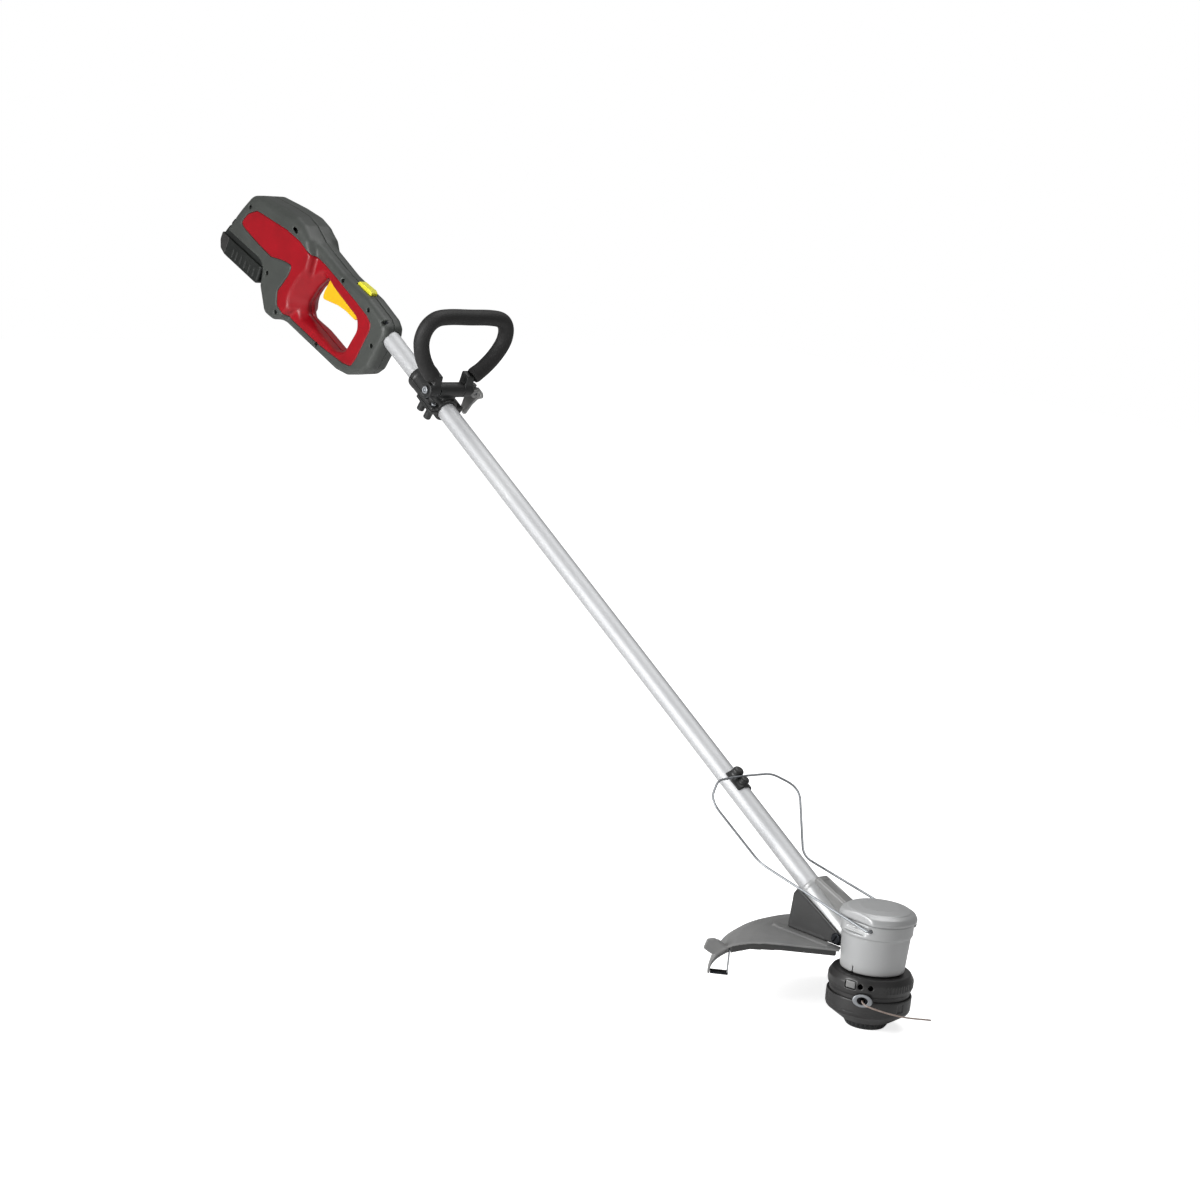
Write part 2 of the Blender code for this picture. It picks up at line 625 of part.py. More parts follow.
def battery():
    shown, wide, length = BATTERY_SHOWN_HEIGHT, BATTERY_HALF_WIDTH, BATTERY_LENGTH
    rail = BATTERY_RAIL_HALF_WIDTH
    rim = shown + 0.006
    outline = [(0, 0.004), (0.004, 0), (length - 0.020, 0), (length - 0.007, 0.004), (length, 0.016),
               (length, rim), (0, rim)]
    tray = side_plate([outline], -wide, wide, 0.0025)
    hollow = box((0.0025, -rail - GAP, 0.0060), (length - 0.0025, rail + GAP, rim + 0.01))
    above = box((-0.01, -0.05, shown), (length + 0.01, 0.05, rim + 0.01))
    door = box((length - 0.010, -LATCH_HALF_WIDTH - RUNNING_GAP, LATCH_LOW - RUNNING_GAP),
               (length + 0.01, LATCH_HALF_WIDTH + RUNNING_GAP, LATCH_HIGH + RUNNING_GAP))
    piece("battery_case_lower", cut(tray, hollow, above, door), BLACK_PLASTIC, BATTERY_SLIDE)
    case_rear = length - 0.0028
    top_rear = length - CASE_SLANT
    case = side_plate([[(CASE_FRONT, CASE_SKIRT), (case_rear, CASE_SKIRT), (case_rear, shown + 0.0010),
                        (top_rear, BATTERY_HEIGHT), (CASE_FRONT, BATTERY_HEIGHT)]], -rail, rail, 0.0012)
    room = side_plate([[(CASE_FRONT + 0.002, CASE_SKIRT - 0.01), (case_rear - 0.002, CASE_SKIRT - 0.01),
                        (case_rear - 0.002, shown + 0.0005), (top_rear - 0.0012, BATTERY_HEIGHT - 0.0025),
                        (CASE_FRONT + 0.002, BATTERY_HEIGHT - 0.0025)]], -rail + 0.002, rail - 0.002)
    slots = [box((-0.01, n * CONTACT_PITCH - 0.0012, CONTACT_LOW - 0.001), (CASE_FRONT + 0.004,
                                                                            n * CONTACT_PITCH + 0.0012,
                                                                            CONTACT_HIGH + 0.001))
             for n in (-1, 0, 1)]
    piece("battery_case_upper", cut(case, room, *slots), BLACK_PLASTIC, BATTERY_SLIDE)
    cells = [rod((CELL_FRONT, n * 0.0165, z), (length - CASE_SLANT + 0.0005, n * 0.0165, z), 0.0086, sides=14)
             for n in (-1, 0, 1) for z in (0.0149, 0.0315)]
    piece("battery_cell_block", join(*cells), CELL_SLEEVE, BATTERY_SLIDE)
    face = rounded_box((length - 0.006, -LATCH_HALF_WIDTH, LATCH_LOW), (length + 0.004, LATCH_HALF_WIDTH,
                                                                        LATCH_HIGH), 0.0008, 1)
    flange = box((length - 0.0085, -LATCH_HALF_WIDTH - 0.003, LATCH_LOW - 0.002),
                 (length - 0.0045, LATCH_HALF_WIDTH + 0.003, LATCH_HIGH + 0.0015))
    piece("battery_latch", join(face, flange), BLACK_PLASTIC, BATTERY_SLIDE)


# Motor cable: it runs inside the tube, then along the left side of the grip to the control board.
def motor_cable():
    points = [(0.056, 0, 0), (0.30, 0, 0), (0.70, 0, 0), (1.10, 0, 0), (1.225, 0, 0),
              (1.245, -0.006, 0.0004), (1.268, -0.0115, 0.0006), (1.330, -0.0115, 0.0006),
              (1.385, -0.0115, 0.0006), (1.408, -0.0110, -0.008), (1.424, -0.0100, -0.024),
              (1.4345, -0.0080, -0.0395)]
    route = [points[0], points[1], points[2], points[3]]
    route += smooth_route(points[4:], 0.010)
    piece("motor_cable", wire(route, 0.0028), CABLE_RUBBER, ON_SHAFT)


# Clamp: two halves around the tube, with a barrel on top that the loop handle turns on.
FLANGE_Y = 0.0225
CLAMP_SCREW_PLACES = (CLAMP_FRONT + 0.0065, CLAMP_FRONT + 0.0245)
LEVER_FACE_Y = BARREL_HALF_LENGTH + GAP + LEFT_KNUCKLE_LENGTH + GAP
CLAMP_FOOT_RADIUS = 0.0055
CLAMP_FOOT_LENGTH = 0.0175
CLAMP_SCREW_RADIUS = 0.0020


def clamp():
    front, rear = CLAMP_FRONT, CLAMP_FRONT + CLAMP_LENGTH
    s, u = HANDLE_PIVOT_S, HANDLE_PIVOT_U
    bore = ((front - 0.01, 0, 0), (rear + 0.01, 0, 0), TUBE_RADIUS + GAP)
    bolt_hole = rod((s, -0.05, u), (s, 0.05, u), LOOP_BOLT_RADIUS + GAP, sides=20)
    collar = rod((front, 0, 0), (rear, 0, 0), CLAMP_RADIUS, sides=28)
    barrel = rod((s, -BARREL_HALF_LENGTH, u), (s, BARREL_HALF_LENGTH, u), BARREL_RADIUS, sides=24)
    web = box((s - 0.009, -0.0105, 0.004), (s + 0.009, 0.0105, u))
    ears = rounded_box((front, -0.0282, 0.0002), (front + 0.038, 0.0282, 0.0052), 0.001, 1)
    holes = [rod((place, FLANGE_Y, -0.02), (place, FLANGE_Y, 0.02), CLAMP_SCREW_RADIUS + GAP, sides=12)
             for place in CLAMP_SCREW_PLACES]
    below = box((front - 0.01, -0.05, -0.05), (rear + 0.01, 0.05, SPLIT_GAP))
    upper = cut(join(collar, barrel, web, ears), below, rod(*bore, sides=32), bolt_hole, *holes)
    piece("handle_clamp_upper", upper, BLACK_PLASTIC, CLAMP_SLIDE)
    collar = rod((front, 0, 0), (rear, 0, 0), CLAMP_RADIUS, sides=28)
    ears = rounded_box((front, -0.0282, -0.0052), (front + 0.038, 0.0282, -0.0002), 0.001, 1)
    feet = [rod((place, FLANGE_Y, -0.0005), (place, FLANGE_Y, -CLAMP_FOOT_LENGTH), CLAMP_FOOT_RADIUS,
                sides=16) for place in CLAMP_SCREW_PLACES]
    above = box((front - 0.01, -0.05, -SPLIT_GAP), (rear + 0.01, 0.05, 0.05))
    holes = [rod((place, FLANGE_Y, -0.0122), (place, FLANGE_Y, 0.02), CLAMP_SCREW_RADIUS + GAP, sides=12)
             for place in CLAMP_SCREW_PLACES]
    lower = cut(join(collar, ears, *feet), above, rod(*bore, sides=32), *holes)
    piece("handle_clamp_lower", lower, BLACK_PLASTIC, CLAMP_SLIDE)
    for number, place in enumerate(CLAMP_SCREW_PLACES, start=1):
        shank = rod((place, FLANGE_Y, -0.0118), (place, FLANGE_Y, 0.006), CLAMP_SCREW_RADIUS, sides=10)
        head = rod((place, FLANGE_Y, 0.0055), (place, FLANGE_Y, 0.0085), 0.0036, sides=12)
        piece("clamp_screw_%d" % number, join(head, shank), STEEL, CLAMP_SLIDE)
    right = BARREL_HALF_LENGTH + GAP + RIGHT_KNUCKLE_LENGTH + GAP
    shank = rod((s, -LEVER_FACE_Y, u), (s, right + 0.002, u), LOOP_BOLT_RADIUS, sides=16)
    head = rod((s, right, u), (s, right + 0.0030, u), 0.0056, 0.0048, sides=20)
    tongue = box((s - 0.0018, -LEVER_PIN_Y - 0.0020, u - 0.0026),
                 (s + 0.0018, 0.001 - LEVER_FACE_Y, u + 0.0026))
    pin = rod((s - 0.0095, -LEVER_PIN_Y, u), (s + 0.0095, -LEVER_PIN_Y, u), LEVER_PIN_RADIUS, sides=12)
    piece("loop_bolt", join(head, shank, tongue, pin), STEEL, CLAMP_SLIDE)


def clamp_lever():
    s, u = HANDLE_PIVOT_S, HANDLE_PIVOT_U
    hub = rod((s - 0.0100, -LEVER_PIN_Y, u), (s + 0.0100, -LEVER_PIN_Y, u), LEVER_HUB_RADIUS, sides=20)
    outline = [(s - 0.0200, u + 0.0010), (s - 0.0150, u + 0.0062), (s + 0.0100, u + 0.0062),
               (s + 0.0125, u - 0.0130), (s + 0.0075, u - 0.0400), (s - 0.0050, u - 0.0430),
               (s - 0.0075, u - 0.0220), (s - 0.0120, u - 0.0080)]
    arm = side_plate([rounded_outline(outline, 0.005, 1)], -LEVER_PIN_Y - 0.0066, -LEVER_PIN_Y - 0.0028,
                     0.0008, segments=0)
    slot = box((s - 0.0022, -LEVER_PIN_Y - 0.01, u - 0.0034), (s + 0.0022, -LEVER_FACE_Y + 0.01, u + 0.01))
    hole = rod((s - 0.0110, -LEVER_PIN_Y, u), (s + 0.0110, -LEVER_PIN_Y, u), LEVER_PIN_RADIUS + GAP,
               sides=12)
    piece("clamp_lever", cut(join(hub, arm), slot, hole), SILVER_PLASTIC, LEVER_PIVOT)


# Loop handle: a core rod whose ends are the knuckles on the barrel, in a foam grip.
ARM_HEIGHT = 0.0235
ARM_WIDTH = 0.0135


def loop_route(inset):
    """The loop's centre line from the right arm over the top to the left one."""
    shape = [(0.0290, 0.0395), (0.0380, 0.0472), (0.0515, 0.0590), (0.0650, 0.0765), (0.0735, 0.0970),
             (0.0710, 0.1160), (0.0585, 0.1280), (0.0360, 0.1315), (0.0, 0.1315)]
    half = [(HANDLE_PIVOT_S + (u - HANDLE_PIVOT_U) * LOOP_LEAN, y, u) for y, u in shape]
    whole = half + [(s, -y, u) for s, y, u in reversed(half[:-1])]
    route = smooth_route(whole, 0.0120)
    return route[inset:len(route) - inset]


def loop_arm(side, grow):
    """The block that rises from one knuckle to the end of the grip."""
    s, u = HANDLE_PIVOT_S, HANDLE_PIVOT_U
    near = BARREL_HALF_LENGTH + GAP
    low, high = sorted((side * (near + 0.0002 - grow), side * (near + ARM_WIDTH + grow)))
    outline = [(s - 0.0095 - grow, u - 4 * grow), (s + 0.0095 + grow, u - 4 * grow),
               (s + 0.0150 + grow, u + ARM_HEIGHT + grow), (s - 0.0010 - grow, u + ARM_HEIGHT + grow)]
    return side_plate([outline], low, high)


def loop_handle():
    s, u = HANDLE_PIVOT_S, HANDLE_PIVOT_U
    near = BARREL_HALF_LENGTH + GAP
    shapes = [loop_arm(1, 0.0), loop_arm(-1, 0.0)]
    for side, length in ((1, RIGHT_KNUCKLE_LENGTH), (-1, LEFT_KNUCKLE_LENGTH)):
        shapes.append(rod((s, side * near, u), (s, side * (near + length), u), BARREL_RADIUS, sides=24))
    hole = rod((s, -0.05, u), (s, 0.05, u), LOOP_BOLT_RADIUS + GAP, sides=20)
    core = join(wire(loop_route(0), CORE_RADIUS, 2), *shapes)
    piece("loop_core", cut(core, hole), BLACK_PLASTIC, HANDLE_PIVOT)
    sleeve = wire(loop_route(1), GRIP_RADIUS, 3)
    room = wire(loop_route(0), CORE_RADIUS + GAP, 2)
    piece("loop_grip", cut(sleeve, room, loop_arm(1, GAP), loop_arm(-1, GAP)), BLACK_FOAM, HANDLE_PIVOT)


# Wire guard: one bent steel wire, hooked into both sides of the motor housing, with a clip on the tube.
def bent_route(points, radius, steps=3):
    """An open route with each inner corner replaced by a short arc."""
    out = [Vector(points[0])]
    for before, here, after in zip(points, points[1:], points[2:]):
        before, here, after = Vector(before), Vector(here), Vector(after)
        back = before - here
        ahead = after - here
        half = max(back.angle(ahead) / 2, 0.2)
        reach = min(radius / math.tan(half), back.length * 0.45, ahead.length * 0.45)
        first = here + back.normalized() * reach
        last = here + ahead.normalized() * reach
        for k in range(steps + 1):
            t = k / steps
            out.append(first * (1 - t) ** 2 + here * 2 * t * (1 - t) + last * t ** 2)
    out.append(Vector(points[-1]))
    return out


def guard_wire():
    over = shaft_point(GUARD_CLIP_S, 0, TUBE_RADIUS + CLIP_WALL + WIRE_RADIUS + 2 * GAP)
    half = [(GUARD_PIVOT_X, 0.0365, GUARD_PIVOT_Z), (GUARD_PIVOT_X, GUARD_LEG_Y, GUARD_PIVOT_Z),
            (-0.1665, 0.0389, 0.1608), (-0.2230, 0.0800, 0.2305), (-0.2440, 0.0480, over.z + 0.0010),
            (over.x, 0.0130, over.z)]
    whole = half + [(x, -y, z) for x, y, z in reversed(half)]
    piece("guard_wire", wire(bent_route(whole, 0.012), WIRE_RADIUS), STEEL, GUARD_PIVOT)


def wire_clip():
    front = GUARD_CLIP_S - CLIP_LENGTH / 2
    rear = GUARD_CLIP_S + CLIP_LENGTH / 2
    channel = 0.0024
    ring = rod((front, 0, 0), (rear, 0, 0), TUBE_RADIUS + CLIP_WALL, sides=28)
    lobes = [rounded_box((low, -0.0085, 0.0), (high, 0.0085, TUBE_RADIUS + 0.0095), 0.003, 2)
             for low, high in ((front, GUARD_CLIP_S - channel), (GUARD_CLIP_S + channel, rear))]
    bore = rod((front - 0.01, 0, 0), (rear + 0.01, 0, 0), TUBE_RADIUS + GAP, sides=32)
    mouth = box((front - 0.01, -0.0065, -0.03), (rear + 0.01, 0.0065, -0.005))
    piece("wire_clip", cut(join(ring, *lobes), bore, mouth), BLACK_PLASTIC, ON_SHAFT)


# Motor housing with its neck, in the head's frame.
def shaft_frame(made):
    """Takes a shape from the shaft's frame to the head's frame."""
    place = Matrix.Translation((0, 0, AXIS_MEET_HEIGHT))
    turn = Matrix.Rotation(math.pi, 4, "Z") @ Matrix.Rotation(-SHAFT_ANGLE, 4, "Y")
    return moved(made, place @ turn)


BEARING_SEAT_Z = 0.0727
UPPER_BEARING_Z = 0.1136
MOTOR_FLOOR_Z = 0.0750
MOTOR_UPPER_BORE = 0.0380
CAP_BASE_Z = MOTOR_RIM_Z + GAP


def motor_form(grow):
    return turned([(0, MOTOR_RIM_Z + grow), (MOTOR_RIM_RADIUS + grow, MOTOR_RIM_Z + grow),
                   (MOTOR_RIM_RADIUS + grow, MOTOR_SHOULDER_Z + 0.002), (MOTOR_SHOULDER_RADIUS + grow,
                                                                         MOTOR_SHOULDER_Z),
                   (MOTOR_BASE_RADIUS + grow, MOTOR_BASE_Z), (0, MOTOR_BASE_Z)], 40)


def motor_housing():
    seat = BEARING_RADIUS + GAP
    neck = shaft_frame(rod((0.028, 0, 0), (NECK_END, 0, 0), NECK_RADIUS, sides=28))
    hollow = turned([(0, 0.140), (MOTOR_UPPER_BORE, 0.140), (MOTOR_UPPER_BORE, 0.1165),
                     (MOTOR_BORE_RADIUS, 0.1125), (MOTOR_BORE_RADIUS, MOTOR_FLOOR_Z), (seat + 0.0027,
                                                                                       MOTOR_FLOOR_Z),
                     (seat + 0.0027, BEARING_SEAT_Z + BEARING_HEIGHT), (seat,
                                                                        BEARING_SEAT_Z + BEARING_HEIGHT),
                     (seat, BEARING_SEAT_Z), (0.0060, BEARING_SEAT_Z), (0.0060, 0.070), (0, 0.070)], 32)
    cutters = [hollow, rod((0, 0, MOTOR_RIM_Z), (0, 0, 0.20), CAP_RADIUS + GAP, sides=40),
               shaft_frame(rod((TUBE_FRONT - GAP, 0, 0), (0.16, 0, 0), TUBE_RADIUS + GAP, sides=28)),
               shaft_frame(rod((0.030, 0, 0), (TUBE_FRONT + 0.01, 0, 0), 0.0045, sides=14)),
               rod((GUARD_PIVOT_X, -0.06, GUARD_PIVOT_Z), (GUARD_PIVOT_X, 0.06, GUARD_PIVOT_Z),
                   WIRE_RADIUS + GAP, sides=14)]
    for side in (1, -1):
        low, high = sorted((side * SIDE_FLAT_Y, side * 0.06))
        cutters.append(box((-0.034, low, GUARD_PIVOT_Z - 0.0065), (0.034, high, 0.20)))
        cutters.append(shaft_frame(rod((BRACKET_SCREW_S, side * 0.0110, BRACKET_SCREW_U),
                                       (BRACKET_SCREW_S, side * 0.03, BRACKET_SCREW_U),
                                       BRACKET_SCREW_RADIUS + GAP, sides=14)))
    piece("motor_housing", cut(join(motor_form(0.0), neck), *cutters), SILVER_PLASTIC, ON_HEAD)
    cover = [(NECK_END, 0.0060), (NECK_END - 0.003, 0.0225), (0.100, 0.0275), (0.070, 0.0330), (0.052,
                                                                                                0.0375),
             (0.035, 0.0375), (0.035, 0.0060)]
    cover = shaft_frame(side_plate([cover], -NECK_COVER_HALF_WIDTH, NECK_COVER_HALF_WIDTH, 0.003))
    under = shaft_frame(rod((0.0, 0, 0), (NECK_END + 0.01, 0, 0), NECK_RADIUS + GAP, sides=28))
    above = rod((0, 0, MOTOR_RIM_Z + GAP - 0.01), (0, 0, 0.20), CAP_RADIUS + 2 * GAP, sides=40)
    piece("neck_cover", cut(cover, under, above, motor_form(GAP)), NECK_GREY, ON_HEAD)


def motor_cap():
    seat = BEARING_RADIUS + GAP
    lip = MOTOR_UPPER_BORE - GAP
    top = CAP_TOP_Z
    bearing_top = UPPER_BEARING_Z + BEARING_HEIGHT + GAP
    cap = turned([(0, top), (0.024, top - 0.0006), (0.038, top - 0.003), (0.0445, top - 0.007),
                  (CAP_RADIUS, top - 0.0115), (CAP_RADIUS, CAP_BASE_Z), (lip, CAP_BASE_Z),
                  (lip, CAP_BASE_Z - 0.004), (lip - CAP_WALL, CAP_BASE_Z - 0.004),
                  (lip - CAP_WALL, top - 0.009), (0.030, top - 0.0055), (seat + 0.0027, top - 0.004),
                  (seat + 0.0027, UPPER_BEARING_Z), (seat, UPPER_BEARING_Z), (seat, bearing_top),
                  (0, bearing_top)], 40)
    flats = [box((-0.06, SIDE_FLAT_Y, 0.10), (0.06, 0.09, 0.20)),
             box((-0.06, -0.09, 0.10), (0.06, -SIDE_FLAT_Y, 0.20))]
    piece("motor_cap", cut(cap, *flats), SILVER_PLASTIC, ON_HEAD)


def ring(outer, inner, low, high, sides=28):
    return turned([(outer, high), (outer, low), (inner, low), (inner, high)], sides, closed=True)


def motor():
    shaft = MOTOR_SHAFT_RADIUS
    core = ring(MOTOR_BORE_RADIUS - GAP, 0.0280, 0.0830, 0.1050)
    windings = ring(0.0320, ROTOR_RADIUS + RUNNING_GAP, 0.0800, 0.1080)
    piece("stator", join(core, windings), COPPER, ON_HEAD)
    piece("lower_bearing", ring(BEARING_RADIUS, shaft + GAP, BEARING_SEAT_Z + GAP,
                                BEARING_SEAT_Z + BEARING_HEIGHT), STEEL, ON_HEAD)
    piece("upper_bearing", ring(BEARING_RADIUS, shaft + GAP, UPPER_BEARING_Z,
                                UPPER_BEARING_Z + BEARING_HEIGHT), STEEL, ON_HEAD)
    piece("rotor", ring(ROTOR_RADIUS, shaft + GAP, ROTOR_LOW, ROTOR_HIGH), BLACK_STEEL, HEAD_SPIN)
    top = UPPER_BEARING_Z + BEARING_HEIGHT - GAP
    piece("motor_shaft", rod((0, 0, 0.0270), (0, 0, top), shaft, sides=20), STEEL, HEAD_SPIN)


# Spinning head: the spool housing is fixed to the motor shaft, and the cover snaps on from below.
SKIRT_OUTER = 0.0490
SKIRT_LOW = 0.0380
EYELET_SLEEVE = 0.0050
EYELET_HOLE = 0.0032


def eyelet_frame(made):
    """Takes a shape drawn along X from the head's axis to the eyelet's direction and height."""
    return moved(made, Matrix.Translation((0, 0, EYELET_Z)) @ Matrix.Rotation(EYELET_ANGLE, 4, "Z"))


def spool_housing():
    shaft = MOTOR_SHAFT_RADIUS + GAP
    skirt = SKIRT_OUTER
    wall = HEAD_WALL
    shell = turned([(0.0475, HEAD_TOP_Z), (HEAD_RADIUS, 0.0625), (HEAD_RADIUS, 0.0545), (0.0500, 0.0490),
                    (skirt, 0.0480), (skirt, SKIRT_LOW), (skirt - wall, SKIRT_LOW), (skirt - wall,
                                                                                     0.0490),
                    (HEAD_RADIUS - wall, 0.0555), (HEAD_RADIUS - wall, 0.0615), (0.0460,
                                                                                 HEAD_TOP_Z - wall - 0.001),
                    (0.0110, HEAD_TOP_Z - wall - 0.001), (0.0110, 0.0600), (shaft, 0.0600), (shaft,
                                                                                             HEAD_TOP_Z)],
                   36, closed=True)
    way = eyelet_frame(rod((0.040, 0, 0), (0.060, 0, 0), EYELET_SLEEVE + GAP, sides=16))
    piece("spool_housing", cut(shell, way), BLACK_PLASTIC, HEAD_SPIN)


def spool_cover():
    inner = SKIRT_OUTER + GAP
    shell = turned([(COVER_RIM_RADIUS, 0.0430), (COVER_RIM_RADIUS, 0.0265), (0.0505, 0.0225), (0.0310,
                                                                                               COVER_LOW_Z),
                    (KNOB_RADIUS + 0.0008, COVER_LOW_Z), (KNOB_RADIUS + 0.0008, COVER_LOW_Z + 0.0025),
                    (0.0300, COVER_LOW_Z + 0.0028), (0.0480, 0.0242), (inner, 0.0275), (inner, 0.0430)],
                   36, closed=True)
    way = eyelet_frame(rod((0.040, 0, 0), (0.060, 0, 0), EYELET_SLEEVE + GAP, sides=16))
    piece("spool_cover", cut(shell, way), BLACK_PLASTIC, HEAD_SPIN)


def eyelet():
    oval = [(EYELET_HALF_WIDTH * math.cos(k * math.pi / 10),
             EYELET_HALF_HEIGHT * math.sin(k * math.pi / 10)) for k in range(20)]
    flange = side_plate([oval], 0, 0.0025, 0.0006, segments=0)
    flange = moved(flange, Matrix.Translation((COVER_RIM_RADIUS + GAP, 0,
                                               0)) @ Matrix.Rotation(-math.pi / 2, 4, "Z"))
    sleeve = rod((0.0460, 0, 0), (COVER_RIM_RADIUS + 0.001, 0, 0), EYELET_SLEEVE, sides=16)
    hole = rod((0.040, 0, 0), (0.060, 0, 0), EYELET_HOLE, sides=16)
    piece("line_eyelet", eyelet_frame(cut(join(flange, sleeve), hole)), STEEL, HEAD_SPIN)


def arbor_nut():
    hexagon = rod((0, 0, 0.0540), (0, 0, 0.0597), 0.0080, sides=6)
    hole = rod((0, 0, 0.05), (0, 0, 0.065), MOTOR_SHAFT_RADIUS + GAP, sides=20)
    piece("arbor_nut", cut(hexagon, hole), STEEL, HEAD_SPIN)


def bump_feed():
    piece("thrust_washer", ring(0.0115, MOTOR_SHAFT_RADIUS + GAP, SPOOL_HIGH + GAP, SPOOL_HIGH + 0.0015,
                                24), STEEL, BUMP_SLIDE)
    bore = SPOOL_BORE_RADIUS + 0.002 + GAP
    web = SPOOL_HIGH - 0.004
    spool = turned([(SPOOL_RADIUS, SPOOL_HIGH), (SPOOL_RADIUS, SPOOL_HIGH - FLANGE_THICKNESS),
                    (SPOOL_HUB_RADIUS, SPOOL_HIGH - FLANGE_THICKNESS), (SPOOL_HUB_RADIUS,
                                                                        SPOOL_LOW + FLANGE_THICKNESS),
                    (SPOOL_RADIUS, SPOOL_LOW + FLANGE_THICKNESS), (SPOOL_RADIUS, SPOOL_LOW), (bore,
                                                                                              SPOOL_LOW),
                    (bore, web), (MOTOR_SHAFT_RADIUS + RUNNING_GAP, web),
                    (MOTOR_SHAFT_RADIUS + RUNNING_GAP, SPOOL_HIGH)], 32, closed=True)
    piece("spool", spool, BLACK_PLASTIC, BUMP_SLIDE)
    coil = ring(SPOOL_RADIUS - 0.005, SPOOL_HUB_RADIUS + GAP, SPOOL_LOW + FLANGE_THICKNESS + GAP,
                SPOOL_HIGH - FLANGE_THICKNESS - GAP)
    piece("line_coil", coil, NYLON_LINE, BUMP_SLIDE)
    hub = bore - GAP
    well = MOTOR_SHAFT_RADIUS + 0.001
    knob = turned([(0, 0.0195), (well, 0.0195), (well, web - GAP), (hub, web - GAP), (hub,
                                                                                      SPOOL_LOW - GAP),
                   (0.0250, SPOOL_LOW - GAP), (KNOB_RADIUS, 0.0215), (KNOB_RADIUS, 0.0045), (0.0235, 0.0),
                   (0, 0.0)], 32)
    piece("bump_knob", knob, BLACK_PLASTIC, BUMP_SLIDE)
    low = SPOOL_HIGH + SPRING_WIRE_RADIUS + GAP
    high = HEAD_TOP_Z - HEAD_WALL - 0.001 - SPRING_WIRE_RADIUS - GAP
    coil_radius = 0.0132
    per_turn = 14
    points = []
    for k in range(SPRING_TURNS * per_turn + 1):
        turn = 2 * math.pi * k / per_turn
        lift = (high - low) * k / (SPRING_TURNS * per_turn)
        points.append((coil_radius * math.cos(turn), coil_radius * math.sin(turn), low + lift))
    piece("bump_spring", wire(points, SPRING_WIRE_RADIUS, 1), STEEL, HEAD_SPIN)


# Cutting line: one stiff nylon line from the coil, out through the eyelet.
def cutting_line():
    out = Vector((math.cos(EYELET_ANGLE), math.sin(EYELET_ANGLE), 0))
    inner = SPOOL_RADIUS - 0.005 + LINE_RADIUS + GAP
    points = [out * inner + Vector((0, 0, 0.0400)), out * 0.0420 + Vector((0, 0, 0.0408)),
              out * 0.0475 + Vector((0, 0, 0.0432)), out * 0.056 + Vector((0, 0, EYELET_Z)),
              (0.0400, -0.0505, 0.0432), (0.0525, -0.0440, 0.0405), (0.0650, -0.0310, 0.0370),
              (0.0760, -0.0150, 0.0340), (0.0905, 0.0120, 0.0315)]
    piece("cutting_line", wire(smooth_route(points, 0.005), LINE_RADIUS), NYLON_LINE, HEAD_SPIN)


# Debris shield: a sector of a shallow dish behind the head, with its bracket and line cutter.
SHIELD_SCREW_PLACES = (-0.085, -0.112)
SHIELD_FOLD = 0.067
SHIELD_FLAT = 0.087
BRACKET_BASE_Z = SHIELD_TOP_Z + GAP
BLADE_REACH = 0.025
BLADE_RADIUS = SHIELD_RADIUS - BLADE_REACH


def edge_frame(made, angle):
    """Takes a shape drawn along X from the head's axis to a direction around it."""
    return moved(made, Matrix.Rotation(angle, 4, "Z"))


def arched(made):
    """Raises the outer part of the shield toward its middle, so that it falls away to both edges."""
    middle = (SHIELD_FIRST_ANGLE + SHIELD_LAST_ANGLE) / 2
    for vertex in made.data.vertices:
        x, y, z = vertex.co
        angle = math.atan2(y, x) % (2 * math.pi) - middle
        ramp = min(max((math.hypot(x, y) - SHIELD_RADIUS + SHIELD_FOLD) / 0.035, 0.0), 1.0)
        share = math.cos(math.pi * angle / (SHIELD_LAST_ANGLE - SHIELD_FIRST_ANGLE))
        vertex.co.z = z + SHIELD_ARCH * ramp * max(share, 0.0)
    return made


